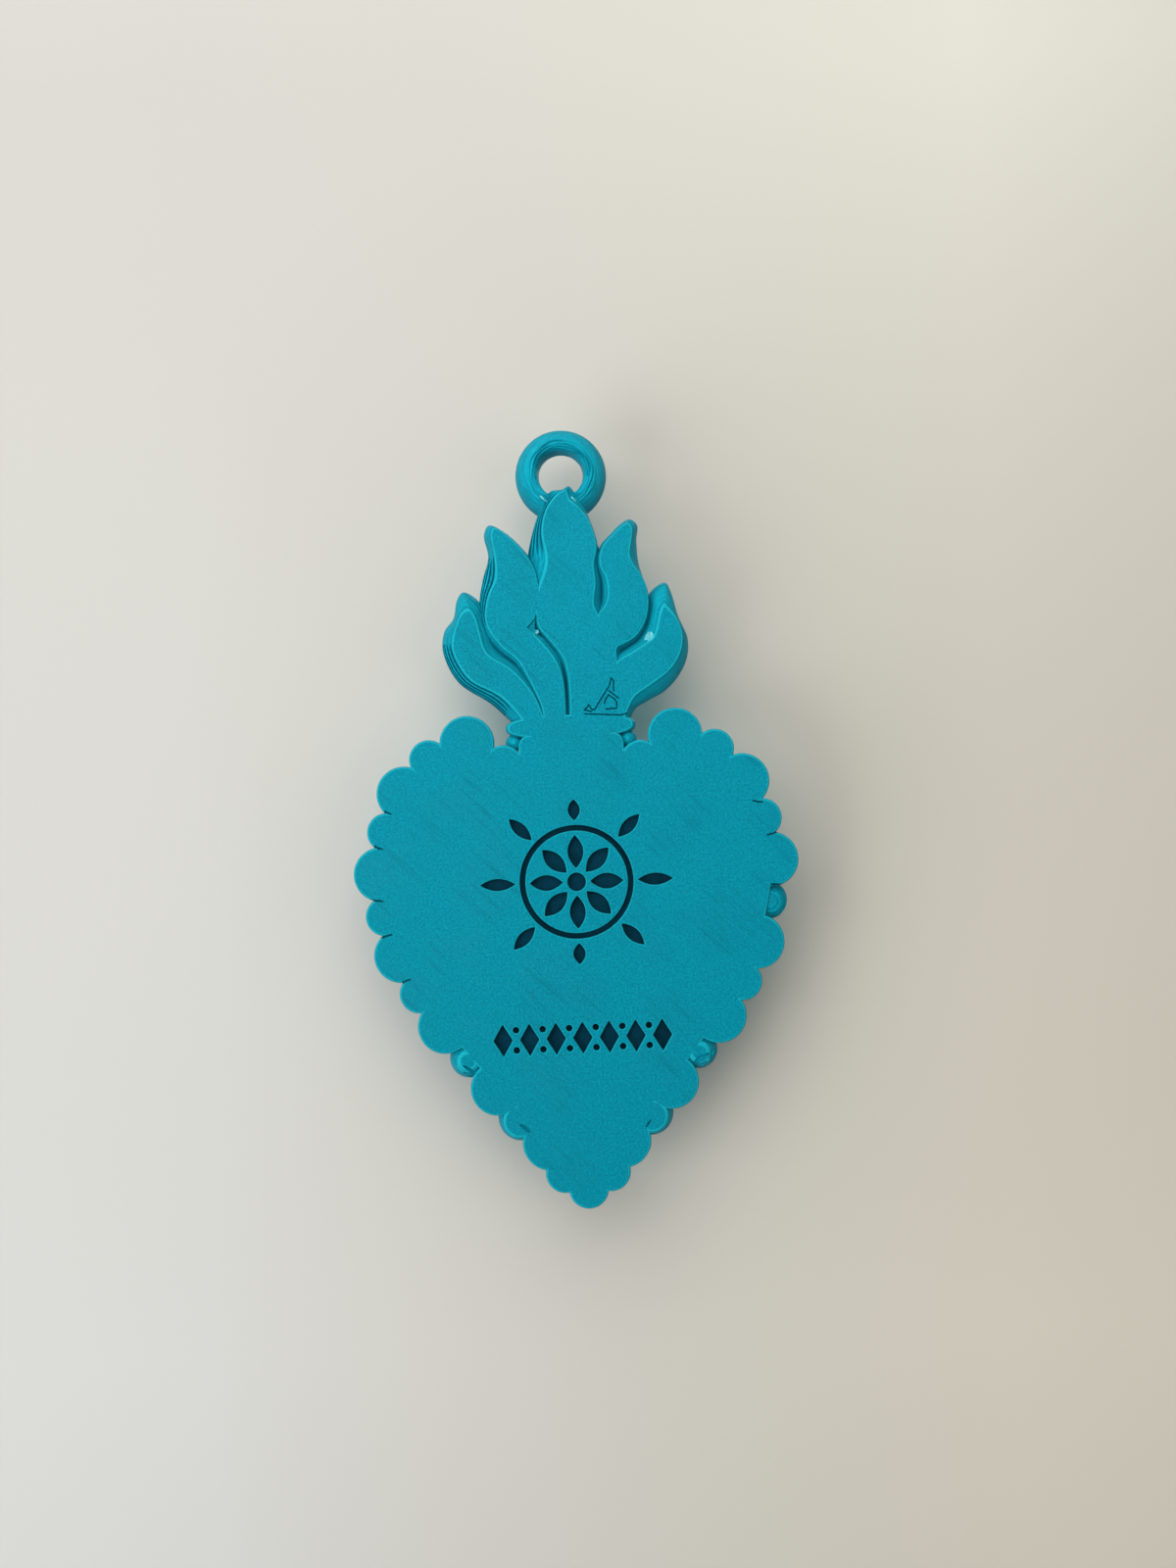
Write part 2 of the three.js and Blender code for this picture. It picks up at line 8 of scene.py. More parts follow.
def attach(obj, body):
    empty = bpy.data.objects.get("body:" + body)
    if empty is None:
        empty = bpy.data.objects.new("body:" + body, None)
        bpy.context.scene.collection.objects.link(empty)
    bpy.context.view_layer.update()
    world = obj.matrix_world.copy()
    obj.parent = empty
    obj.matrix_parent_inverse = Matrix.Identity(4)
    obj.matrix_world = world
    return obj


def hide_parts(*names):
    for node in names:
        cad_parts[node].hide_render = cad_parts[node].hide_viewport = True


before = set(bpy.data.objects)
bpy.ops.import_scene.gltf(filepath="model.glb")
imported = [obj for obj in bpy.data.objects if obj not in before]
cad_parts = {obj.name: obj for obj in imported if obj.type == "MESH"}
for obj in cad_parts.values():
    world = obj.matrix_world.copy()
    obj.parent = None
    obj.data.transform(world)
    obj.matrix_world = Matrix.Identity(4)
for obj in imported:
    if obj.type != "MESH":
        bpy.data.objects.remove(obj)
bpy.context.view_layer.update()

bpy.context.scene.view_settings.view_transform = "Standard"

# The forms are drawn in millimetres as the flat back is seen: x right, y up from the centre of the
# bead at the tip, z towards the eye. row_frame() turns them into the row frame, in metres.
MM = 0.001
RING_HEIGHT = 156.9
COLLAR_HEIGHT = 101.0

FILLET = 0.45
FILLET_STEPS = 4
# How far a cutter stands out of the flat back
CUTTER_RISE = 1.0
# Points that are one, and edges without length, in metres
SAME_POINT = 2e-7
NO_LENGTH = 1e-8
# Limits of offset(): no length, the sharpest corner, and the rounds that take out folds
TINY = 1e-9
LEAST_LEAN = 0.6
UNFOLD_ROUNDS = 60
QUARTER = math.pi / 2


def row_frame(points):
    p = np.asarray(points, float)
    return np.stack([p[:, 0], -p[:, 2], p[:, 1] - RING_HEIGHT], axis=1) * MM


# Meshes

def new_object(name, data):
    obj = bpy.data.objects.new(name, data)
    bpy.context.scene.collection.objects.link(obj)
    return obj


def make_object(name, points, faces):
    mesh = bpy.data.meshes.new(name)
    mesh.from_pydata([tuple(v) for v in row_frame(points)], [], faces)
    bm = bmesh.new()
    bm.from_mesh(mesh)
    bmesh.ops.remove_doubles(bm, verts=bm.verts, dist=SAME_POINT)
    bmesh.ops.dissolve_degenerate(bm, edges=bm.edges, dist=NO_LENGTH)
    bmesh.ops.triangulate(bm, faces=[face for face in bm.faces if len(face.verts) > 4])
    bm.to_mesh(mesh)
    bm.free()
    return new_object(name, mesh)


def skin(rings):
    """Points and faces of a skin over rings of equal length, each an outline that runs counter-clockwise.
    The first one is closed by a flat face, and the last one closes on itself."""
    n = len(rings[0])
    faces = [tuple(range(n))]
    for k in range(len(rings) - 1):
        for i in range(n):
            j = (i + 1) % n
            faces.append((k * n + i, (k + 1) * n + i, (k + 1) * n + j, k * n + j))
    return np.concatenate(rings), faces


def capped_skin(rings):
    """A skin whose last ring is closed by a flat face too."""
    points, faces = skin(rings)
    faces.append(tuple(reversed(range(len(points) - len(rings[0]), len(points)))))
    return points, faces


def tube_faces(rounds, n):
    """Faces of a closed tube of so many sections with n points each."""
    faces = []
    for i in range(rounds):
        a, b = i * n, (i + 1) % rounds * n
        for j in range(n):
            k = (j + 1) % n
            faces.append((a + j, b + j, b + k, a + k))
    return faces


def level(outline, z):
    return np.column_stack([outline, np.full(len(outline), float(z))])


def circle(steps):
    angles = np.linspace(0, 2 * math.pi, steps, endpoint=False)
    return np.column_stack([np.cos(angles), np.sin(angles)])


def offset(outline, amount):
    """A counter-clockwise outline moved outwards, or inwards for a negative amount, without folds."""
    p = np.asarray(outline, float)
    ahead = np.roll(p, -1, axis=0) - p
    unit = ahead / np.maximum(np.linalg.norm(ahead, axis=1, keepdims=True), TINY)
    out = np.column_stack([unit[:, 1], -unit[:, 0]])
    both = out + np.roll(out, 1, axis=0)
    both /= np.maximum(np.linalg.norm(both, axis=1, keepdims=True), TINY)
    lean = np.clip((both * out).sum(axis=1, keepdims=True), LEAST_LEAN, 1)
    moved = p + both * amount / lean
    for _ in range(UNFOLD_ROUNDS):
        step = np.roll(moved, -1, axis=0) - moved
        folded = np.nonzero((step * ahead).sum(axis=1) < 0)[0]
        if not len(folded):
            break
        for i in folded:
            j = (i + 1) % len(p)
            middle = (moved[i] + moved[j]) / 2
            moved[i] = middle
            moved[j] = middle
    return moved


def fillet_rings(outline, wall, size, cutter):
    """Rings from the flat back round the rim to the wall's outline, which lies that deep."""
    inner = offset(outline, -size)
    rings = [level(inner, CUTTER_RISE)] if cutter else []
    for j in range(FILLET_STEPS + 1):
        turn = QUARTER * j / FILLET_STEPS
        rings.append(level(inner + (wall - inner) * math.sin(turn), -size * (1 - math.cos(turn))))
    return rings


# Heart: its half outline is three cubic arcs

HEART_HALF_WIDTH = 42.6
WIDEST_HEIGHT = 69.7
SHOULDER_X = 22.8
SHOULDER_HEIGHT = 98.2
CLEFT_HEIGHT = 86.4
TIP_HANDLE = (9.3, 14.8)
SIDE_HANDLE_DOWN = 28.5
SIDE_HANDLE_UP = 9.7
SHOULDER_HANDLE = 11.4
CLEFT_HANDLE = 6.4
CURVE_POINTS = 2001
TANGENT_STEP = 0.02
OUTLINE_STEPS = 260
# The wall stands upright down to the edge, and the dome takes an oval shape towards its top
HEART_EDGE = 3.0
HEART_DEPTH = 20.0
DOME_HEIGHT = 60.0
OVAL = (40.0, 44.0)
DOME_STEPS = 26

ARCS = [
    [(0, 0), TIP_HANDLE, (HEART_HALF_WIDTH, WIDEST_HEIGHT - SIDE_HANDLE_DOWN),
     (HEART_HALF_WIDTH, WIDEST_HEIGHT)],
    [(HEART_HALF_WIDTH, WIDEST_HEIGHT), (HEART_HALF_WIDTH, WIDEST_HEIGHT + SIDE_HANDLE_UP),
     (SHOULDER_X + SHOULDER_HANDLE, SHOULDER_HEIGHT), (SHOULDER_X, SHOULDER_HEIGHT)],
    [(SHOULDER_X, SHOULDER_HEIGHT), (SHOULDER_X, SHOULDER_HEIGHT), (CLEFT_HANDLE, CLEFT_HEIGHT),
     (0, CLEFT_HEIGHT)],
]


def heart_curve():
    t = np.linspace(0, 1, CURVE_POINTS)[:, None]
    parts = []
    for a, b, c, d in np.array(ARCS, float):
        arc = a * (1 - t) ** 3 + 3 * b * t * (1 - t) ** 2 + 3 * c * t ** 2 * (1 - t) + d * t ** 3
        parts.append(arc if not parts else arc[1:])
    points = np.concatenate(parts)
    lengths = np.concatenate([[0], np.cumsum(np.linalg.norm(np.diff(points, axis=0), axis=1))])
    return points, lengths


CURVE, CURVE_LENGTHS = heart_curve()
CURVE_LENGTH = CURVE_LENGTHS[-1]


def on_heart(distance):
    """The point and the outward direction at a distance along the half outline."""
    def at(d):
        return np.array([np.interp(d, CURVE_LENGTHS, CURVE[:, i]) for i in (0, 1)])
    along = at(min(distance + TANGENT_STEP, CURVE_LENGTH)) - at(max(distance - TANGENT_STEP, 0))
    along /= np.linalg.norm(along)
    return at(distance), np.array([along[1], -along[0]])


def heart_outline():
    right = [on_heart(CURVE_LENGTH * i / OUTLINE_STEPS)[0] for i in range(1, OUTLINE_STEPS)]
    left = [(-x, y) for x, y in reversed(right)]
    return np.array([(0, 0), *right, (0, CLEFT_HEIGHT), *left])


def dome(cutter):
    outline = heart_outline()
    rings = fillet_rings(outline, outline, FILLET, cutter)
    middle = np.array([0, DOME_HEIGHT])
    local = outline - middle
    angle = np.arctan2(local[:, 1], local[:, 0])
    oval = np.column_stack([OVAL[0] * np.cos(angle), OVAL[1] * np.sin(angle)])
    for i in range(DOME_STEPS + 1):
        turn = QUARTER * i / DOME_STEPS
        scale = math.cos(turn)
        shape = (oval + (local - oval) * scale ** 2) * scale + middle
        rings.append(level(shape, -HEART_EDGE - (HEART_DEPTH - HEART_EDGE) * math.sin(turn)))
    return skin(rings)


# Neck

NECK_HALF_WIDTH = 11.5
NECK_DEPTH = 8.0
NECK_FOOT = 6.0
NECK_SHOULDER = 2.4
NECK_SHOULDER_DROP = 1.6
NECK_STEPS = 14
NECK_SIDE_POINTS = 12
NECK_SHOULDER_POINTS = 10


def neck(cutter):
    shoulder = np.array([NECK_HALF_WIDTH - NECK_SHOULDER, -NECK_SHOULDER_DROP - NECK_SHOULDER])
    foot = CLEFT_HEIGHT - NECK_FOOT - COLLAR_HEIGHT
    side = [(NECK_HALF_WIDTH, y) for y in np.linspace(foot, shoulder[1], NECK_SIDE_POINTS)]
    for angle in np.linspace(0, QUARTER, NECK_SHOULDER_POINTS)[1:]:
        side.append(tuple(shoulder + NECK_SHOULDER * np.array([math.cos(angle), math.sin(angle)])))
    side.append((shoulder[0], 0.0))
    outline = np.array(side + [(-x, y) for x, y in reversed(side)])
    outline[:, 1] += COLLAR_HEIGHT
    rings = fillet_rings(outline, outline, FILLET, cutter)
    for i in range(1, NECK_STEPS + 1):
        turn = QUARTER * i / NECK_STEPS
        depth = FILLET + (NECK_DEPTH - FILLET) * math.sin(turn)
        rings.append(level(outline * [math.cos(turn), 1], -depth))
    return skin(rings)


# Fill where the neck's side, the heart's rim and the last border bead come together

FILL_HALF_WIDTH = 1.3
FILL_HALF_HEIGHT = 3.1
FILL_HEIGHT = 92.6
FILL_DEPTH = 1.5
FILL_POINTS = 40


def neck_fill(side, cutter):
    middle = np.array([side * NECK_HALF_WIDTH, FILL_HEIGHT])
    outline = circle(FILL_POINTS) * [FILL_HALF_WIDTH, FILL_HALF_HEIGHT] + middle
    rings = fillet_rings(outline, outline, FILLET, cutter)
    rings.append(level(0 * outline + middle, -FILL_DEPTH))
    return skin(rings)


# Balls. The top of one that lies below the back is stepped, one step to a layer or two.

NECK_BEAD_RADIUS = 1.9
BALL_POINTS = 72
BALL_RINGS = 26
LAYER_STEP = 0.3
LAYERED_TOP = 9
# Shares of one step: how far its inner end lies down, where its edge is, how far its outer end lies down
INNER_DROP = 0.3
EDGE_AT = 0.3
OUTER_DROP = 0.25


def ball(radius, x, y, sink, cutter=False):
    profile = []
    start = -QUARTER
    if sink < radius:
        rim = math.sqrt(radius ** 2 - sink ** 2)
        wall = math.sqrt(radius ** 2 - (sink - FILLET) ** 2)
        inner = min(rim, wall) - FILLET
        if cutter:
            profile.append((inner, CUTTER_RISE))
        for j in range(FILLET_STEPS + 1):
            turn = QUARTER * j / FILLET_STEPS
            profile.append((inner + (wall - inner) * math.sin(turn), -FILLET * (1 - math.cos(turn))))
        start = -math.asin((sink - FILLET) / radius)
    if sink > radius > NECK_BEAD_RADIUS:
        for k in range(LAYERED_TOP):
            above, below = radius - k * LAYER_STEP, radius - (k + 1) * LAYER_STEP
            inside, outside = (math.sqrt(max(0, radius ** 2 - h ** 2)) for h in (above, below))
            profile += [(inside, -sink + above - INNER_DROP * LAYER_STEP),
                        (inside + EDGE_AT * (outside - inside), -sink + above),
                        (outside, -sink + above - OUTER_DROP * LAYER_STEP)]
        start = -math.asin((radius - LAYERED_TOP * LAYER_STEP) / radius)
    for angle in np.linspace(start, QUARTER, BALL_RINGS)[1 if profile else 0:]:
        profile.append((radius * math.cos(angle), -sink - radius * math.sin(angle)))
    return skin([level(circle(BALL_POINTS) * max(r, 0) + [x, y], z) for r, z in profile])


def blob(radius, x, y, z, steps):
    """A whole small ball."""
    return skin([level(circle(steps) * radius * max(math.cos(a), 0) + [x, y], z - radius * math.sin(a))
                 for a in np.linspace(-QUARTER, QUARTER, steps // 2 + 1)])


# Border beads

LARGE_BEAD_RADIUS = 6.0
SMALL_BEAD_RADIUS = 4.3
TIP_BEAD_RADIUS = 4.4
LAST_BEAD_FROM_CLEFT = 16.6
PITCH_LOSS_AT_TIP = 3.37
PITCH_LOSS_FADES = 2.0
SMALL_BEAD_OUT = 2.0
SMALL_OUT_FADES = 5.0
BEADS_PER_SIDE = 15
BEAD_SINK = 1.0
# Beads that lie deeper, by their number from the tip: how much larger they are, and how deep they lie
SUNK_BEADS = {
    "left": {2: (0.7, 3.6), 4: (0, 3.9)},
    "right": {2: (0.6, 3.6), 4: (0, 3.9), 8: (0, 4.7)},
}


def border_beads(side):
    losses = [PITCH_LOSS_AT_TIP * math.exp(-k / PITCH_LOSS_FADES) for k in range(BEADS_PER_SIDE)]
    pitch = (CURVE_LENGTH - LAST_BEAD_FROM_CLEFT + sum(losses)) / BEADS_PER_SIDE
    beads = []
    distance = 0.0
    for k in range(BEADS_PER_SIDE):
        distance += pitch - losses[k]
        point, out = on_heart(distance)
        small = k % 2 == 0
        gain, sink = SUNK_BEADS[side].get(k, (0, BEAD_SINK))
        if small:
            point = point + out * SMALL_BEAD_OUT * math.exp(-k / SMALL_OUT_FADES)
        beads.append({
            "name": "border_bead_%s_%02d" % (side, BEADS_PER_SIDE - 1 - k),
            "ball": ((SMALL_BEAD_RADIUS if small else LARGE_BEAD_RADIUS) + gain,
                     -point[0] if side == "left" else point[0], point[1], sink),
            "small": small,
        })
    return beads


# Neck beads

NECK_BEAD_COUNT = 9
NECK_BEAD_SINK = 2.5
NECK_BEAD_STANDOFF = 1.0
NECK_BEAD_DROP = 3.1
ROW_POINTS = 4001


def neck_beads():
    angle = np.linspace(math.pi, 2 * math.pi, ROW_POINTS)
    row = np.column_stack([
        (NECK_HALF_WIDTH + NECK_BEAD_STANDOFF) * np.cos(angle),
        -NECK_BEAD_SINK + (NECK_DEPTH + NECK_BEAD_STANDOFF - NECK_BEAD_SINK) * np.sin(angle),
    ])
    run = np.concatenate([[0], np.cumsum(np.linalg.norm(np.diff(row, axis=0), axis=1))])
    places = np.linspace(0, run[-1], NECK_BEAD_COUNT)
    return [
        {"name": "neck_bead_%d" % (i + 1),
         "ball": (NECK_BEAD_RADIUS, np.interp(d, run, row[:, 0]), COLLAR_HEIGHT - NECK_BEAD_DROP,
                  -np.interp(d, run, row[:, 1]))}
        for i, d in enumerate(places)
    ]


# Collar

COLLAR_HALF_WIDTH = 14.3
COLLAR_HALF_HEIGHT = 2.6
COLLAR_HALF_DEPTH = 8.8
COLLAR_SINK = 2.7
COLLAR_BLUNTNESS = 2.7
COLLAR_POINTS = 120
COLLAR_RINGS = 24


def collar(cutter):
    """A blunt disc that stands upright, in level sections."""
    cosines, sines = circle(COLLAR_POINTS).T
    blunt = np.abs(sines) ** (2 / COLLAR_BLUNTNESS) * np.sign(sines)

    def reach(full, part, whole):
        left = np.maximum(0, 1 - np.abs(part / whole) ** COLLAR_BLUNTNESS)
        return full * left ** (1 / COLLAR_BLUNTNESS)

    def section(z):
        front = (z + COLLAR_SINK) / COLLAR_HALF_DEPTH * COLLAR_HALF_WIDTH
        up = reach(COLLAR_HALF_HEIGHT, front, COLLAR_HALF_WIDTH) * blunt
        half = reach(COLLAR_HALF_WIDTH, up, COLLAR_HALF_HEIGHT)
        across = np.sqrt(np.maximum(0, half ** 2 - front ** 2))
        return np.column_stack([across * np.sign(cosines), up + COLLAR_HEIGHT])

    rings = fillet_rings(section(0), section(-FILLET), FILLET, cutter)
    start = math.asin((COLLAR_SINK - FILLET) / COLLAR_HALF_DEPTH)
    for angle in np.linspace(-start, QUARTER, COLLAR_RINGS)[1:]:
        z = -COLLAR_SINK - COLLAR_HALF_DEPTH * math.sin(angle)
        rings.append(level(section(z), z))
    return skin(rings)


# Flames: stations [flat across, flat up, body across, body up] from the collar's centre. The body is
# widest at the middle's depth. The layers show as steps on a stretch of the left side, from one share
# of its length to another.

FLAME_MIDDLE = 4.0
FLAME_STEPS = 72
FLAME_BACK_STEPS = 5
FLAME_FILLET = 0.25
# One step of the layers on a flame's side: how far across it, and how far down
FLAME_TREAD = [(0.04, 0.3), (0.16, 0.95), (0.45, 0.15), (0.9, 0.3), (1.0, 1.0)]
# The share over which the steps fade out, and how much of them is left elsewhere
STEPPED_FADE = 0.06
FAINT_STEPS = 0.08
FLAME_FRONT_STEPS = 10
CREST_POWER = 3
FLAMES = {
    "flame_centre": {
        "left": [[0, 0, -0.9, 0], [0.2, 5.5, -0.7, 5.5], [0, 10.9, -0.9, 11.1], [-0.9, 15, -2.6, 15.7],
                 [-3.4, 18.5, -5.2, 19.4], [-5.9, 21.8, -7, 22.3], [-6.4, 25, -7, 25], [-5.9, 29, -8, 29.4],
                 [-3.5, 36, -8.1, 37], [-4.4, 42.8, -6.4, 44.2], [-3.2, 47.6, -4.3, 49.2],
                 [-0.6, 50.6, -2.4, 52.1], [0.35, 51.15, 0.3, 52.4]],
        "tip": [1.1, 51.5, 1.8, 53.1],
        "right": [[4.2, 0, 4.8, 0], [5, 6, 5.8, 6], [5.8, 11, 6.6, 11], [6.6, 15.5, 7.4, 15.5],
                  [7, 19.5, 8, 19.5], [7.1, 23.4, 8.2, 23.4], [6, 26.4, 8, 26.4], [6.6, 31, 8.2, 31],
                  [6.35, 35, 7.8, 35], [7.2, 39, 7.8, 39], [5.6, 44.9, 6.2, 45.3], [3.6, 47.6, 4.8, 48.5],
                  [1.6, 49.4, 3.2, 51.3]],
        "crest": 7,
        "stepped": (0.60, 0.86),
    },
    "flame_left_inner": {
        "left": [[-5.4, 0, -6.4, 0], [-6, 4.5, -7, 4.2], [-6.9, 6.9, -7.9, 6.5], [-8.8, 11.2, -9.9, 10.7],
                 [-10.8, 14.8, -12, 14.1], [-14.15, 17.9, -15.3, 17], [-16.7, 21.45, -18.2, 20.7],
                 [-17.5, 24.5, -19.2, 24.5], [-16.6, 29, -18.95, 29], [-14.8, 33, -18.1, 33.2],
                 [-15, 38.4, -16.7, 38.1], [-15.5, 42, -17.5, 43]],
        "tip": [-14.9, 43.7, -16.4, 45.1],
        "right": [[-1, 0, -0.4, 0], [-1, 6.9, -0.4, 6.9], [-1.3, 10.4, -0.7, 10.6], [-2.3, 13.65, -1, 14.4],
                  [-3.9, 16.2, -2.2, 17.4], [-5.6, 18.4, -4.1, 19.8], [-7.2, 20.6, -6.2, 21.4],
                  [-6.7, 24.3, -6.1, 24.4], [-5.1, 27, -4.8, 27], [-5.8, 31, -5.3, 31.2],
                  [-6.6, 34.6, -6.1, 34.9], [-9.3, 39.1, -8.9, 39.6], [-13.2, 42.9, -13.5, 43.9]],
        "crest": 6,
        "stepped": (0.52, 0.84),
    },
    "flame_right_inner": {
        "left": [[2.6, 0, 2.2, 0], [4, 9, 3.6, 9], [5.4, 18, 5, 18], [7.06, 24, 6.4, 24.2],
                 [8.9, 26.3, 7.6, 26.6], [9.5, 29, 7.9, 29.2], [9.2, 31.9, 7.6, 32], [8, 34.5, 6.9, 34.8],
                 [7.9, 36.9, 7.1, 37.2], [9.05, 39.4, 8.3, 40], [11, 41.3, 10.2, 42],
                 [13.2, 43.2, 12.8, 44.4]],
        "tip": [14.3, 43.6, 14.9, 45.3],
        "right": [[9.4, 0, 9.8, 0], [10.2, 8, 10.7, 8], [10.7, 13.2, 11.4, 13], [10.7, 16.7, 11.9, 16],
                  [12.55, 17.64, 13.2, 16.9], [14.9, 19, 15.5, 18.4], [17, 21.9, 17.5, 21.6],
                  [18, 25.5, 18.4, 25.4], [17.8, 29.4, 18.2, 29.2], [16.9, 32, 17.4, 31.8],
                  [14.3, 36.4, 16.4, 36], [14.9, 40.4, 16.2, 41], [15.1, 42.4, 16.5, 43.9]],
        "crest": 6,
        "stepped": (0, 0),
    },
    "flame_left_outer": {
        "left": [[-8.8, 0, -11.6, 0], [-14.4, 6.9, -17.2, 5.6], [-21.4, 11.2, -24.4, 10.8],
                 [-24.8, 17.6, -27.5, 17.6], [-24.5, 20.7, -27.1, 22], [-23.9, 22.9, -24.9, 25],
                 [-22.6, 25.2, -24, 29]],
        "tip": [-21, 25.9, -22.6, 30.7],
        "right": [[-5, 0, -4.2, 0], [-8, 7.3, -6.6, 8], [-12.3, 12.6, -10.5, 13.6],
                  [-17.8, 16.6, -15.6, 18.3], [-19.2, 21.2, -16.9, 24], [-20, 24.6, -19.6, 29]],
        "crest": 5,
        "stepped": (0.06, 0.5),
    },
    "flame_right_outer": {
        "left": [[8.4, 0, 8, 0], [8.8, 6, 8.2, 6], [9.2, 10.6, 8.6, 11.2], [10.78, 13.44, 9.6, 14.8],
                 [13.8, 15.2, 12.8, 17.2], [16.8, 17, 15.6, 19], [19.3, 18.9, 17, 21.6],
                 [20.3, 22.1, 17.9, 25.5], [20.8, 23.9, 18.7, 29]],
        "tip": [21.5, 25.1, 22.1, 31.1],
        "right": [[11.4, 0, 12.8, 0], [12.6, 3.3, 14.4, 3.4], [14, 6, 17.3, 5.1], [17.8, 8.6, 21.2, 7.2],
                  [21.8, 11.4, 24.4, 10.5], [24.2, 14.6, 26.3, 14.3], [25.1, 18.2, 26.6, 18.6],
                  [24.4, 21.9, 24.6, 23.8], [22.8, 24, 23.3, 29]],
        "crest": 5,
        "stepped": (0, 0),
    },
}


def smooth_curve(points, share):
    """The point at a share of a centripetal curve through the points."""
    p = np.asarray(points, float)
    place = (len(p) - 1) * share
    i = min(int(place), len(p) - 2)
    w = place - i
    a = p[i - 1] if i > 0 else 2 * p[0] - p[1]
    b, c = p[i], p[i + 1]
    d = p[i + 2] if i + 2 < len(p) else 2 * p[-1] - p[-2]
    t0, t1, t2 = (np.linalg.norm(v) ** 0.5 for v in (b - a, c - b, d - c))
    m1 = (b - a) / t0 - (c - a) / (t0 + t1) + (c - b) / t1
    m2 = (c - b) / t1 - (d - b) / (t1 + t2) + (d - c) / t2
    m1, m2 = m1 * t1, m2 * t1
    return b + m1 * w + (3 * (c - b) - 2 * m1 - m2) * w ** 2 + (2 * (b - c) + m1 + m2) * w ** 3


def flame_outline(flame, column):
    """One outline of a flame, clockwise from the root's left over the tip to the root's right."""
    stations = [*flame["left"], flame["tip"], *reversed(flame["right"])]
    points = [row[column:column + 2] for row in stations]
    tip_at = len(flame["left"]) / (len(stations) - 1)
    outline = []
    for i in range(2 * FLAME_STEPS + 1):
        share = i / FLAME_STEPS
        t = tip_at * share if share < 1 else tip_at + (1 - tip_at) * (share - 1)
        outline.append(smooth_curve(points, t))
    return np.array(outline)


def flame(name, cutter):
    spec = FLAMES[name]
    flat, body = flame_outline(spec, 0), flame_outline(spec, 2)
    crest = (body + body[::-1]) / 2
    root = np.array([0, COLLAR_HEIGHT])

    def wall(depth):
        # The side is an arc from 45 degrees to upright
        angle = math.acos((1 - depth / FLAME_MIDDLE) / math.sqrt(2))
        out = (math.sin(angle) - math.sqrt(0.5)) / (1 - math.sqrt(0.5))
        return (flat + (body - flat) * out + root)[::-1]

    rings = fillet_rings((flat + root)[::-1], wall(FLAME_FILLET), FLAME_FILLET, cutter)
    start = math.acos((1 - FLAME_FILLET / FLAME_MIDDLE) / math.sqrt(2))
    depths = [FLAME_MIDDLE * (1 - math.cos(a) * math.sqrt(2))
              for a in np.linspace(start, QUARTER, FLAME_BACK_STEPS + 1)]
    steps = np.arange(2 * FLAME_STEPS + 1)
    place = steps / FLAME_STEPS
    first, last = spec["stepped"]
    inside = np.minimum(place - first, last - place) / STEPPED_FADE
    clear = np.clip(inside, FAINT_STEPS, 1)[::-1]
    for above, below in zip(depths, depths[1:]):
        step = below - above
        for reach, drop in FLAME_TREAD:
            outline = wall(min(above + reach * step, FLAME_MIDDLE))
            down = above + step * (reach * (1 - clear) + drop * clear)
            rings.append(np.column_stack([outline, -down]))
    up = 1 - np.abs(steps - FLAME_STEPS) / FLAME_STEPS
    for k in range(1, FLAME_FRONT_STEPS + 1):
        angle = QUARTER * k / FLAME_FRONT_STEPS
        rise = spec["crest"] * np.sqrt(1 - up ** CREST_POWER) * math.sin(angle)
        shape = crest + (body - crest) * math.cos(angle) + root
        rings.append(np.column_stack([shape, -FLAME_MIDDLE - rise])[::-1])
    return skin(rings)


# Ring

RING_RADIUS = 7.5
RING_HALF_WIDTH = 2.6
RING_HALF_DEPTH = 4.2
RING_SINK = 5.6
RING_STEPS = 180
RING_TUBE_STEPS = 216
RING_LEAN = 0.9
LEAN_POWER = 3
RIDGE_ROOM = 0.3
RIDGE_SWAY = 3.0
RIDGE_OUTER_SIDE = 5.0
RIDGE_INNER_SIDE = 1.7
# A ridge's height goes up and down round the ring
RIDGE_MEAN = 0.65
RIDGE_CHANGE = 0.35
RIDGE_SWELLS = 3
RIDGE_SHIFT = 5
# Ridges: the place round the section in degrees, the height, and the waves round the ring and their phase
RING_RIDGES = [(70, 0.14, 9, 0.1), (84, 0.42, 7, 0.45), (99, 0.55, 6, 0.2), (114, 0.58, 7, 0.6),
               (129, 0.46, 8, 0.35), (143, 0.26, 9, 0.9)]


def ripple(turns):
    """A wave of straight slopes between -1 and 1."""
    return 4 * abs((turns % 1) - 0.5) - 1


def ring():
    """The ring's section leans inwards on the side of the back, and rough ridges run round its crest."""
    points = []
    for i in range(RING_STEPS):
        share = i / RING_STEPS
        round_ = 2 * math.pi * share
        for j in range(RING_TUBE_STEPS):
            turn = 2 * math.pi * j / RING_TUBE_STEPS
            up = max(0.0, math.sin(turn))
            rise = 0.0
            for place, height, waves, phase in RING_RIDGES:
                gap = math.degrees(turn) - place - RIDGE_SWAY * ripple(waves * share + phase)
                gap /= RIDGE_OUTER_SIDE if gap < 0 else RIDGE_INNER_SIDE
                swell = math.sin(2 * math.pi * (RIDGE_SWELLS * share + RIDGE_SHIFT * phase))
                rise += height * (RIDGE_MEAN + RIDGE_CHANGE * swell) * math.exp(-gap * gap)
            half = RING_HALF_WIDTH + rise - RIDGE_ROOM * up
            reach = RING_RADIUS + half * math.cos(turn) - RING_LEAN * up ** LEAN_POWER
            points.append((reach * math.cos(round_), reach * math.sin(round_) + RING_HEIGHT,
                           -RING_SINK + (RING_HALF_DEPTH + rise - RIDGE_ROOM * up) * math.sin(turn)))
    return points, tube_faces(RING_STEPS, RING_TUBE_STEPS)


# Engraving

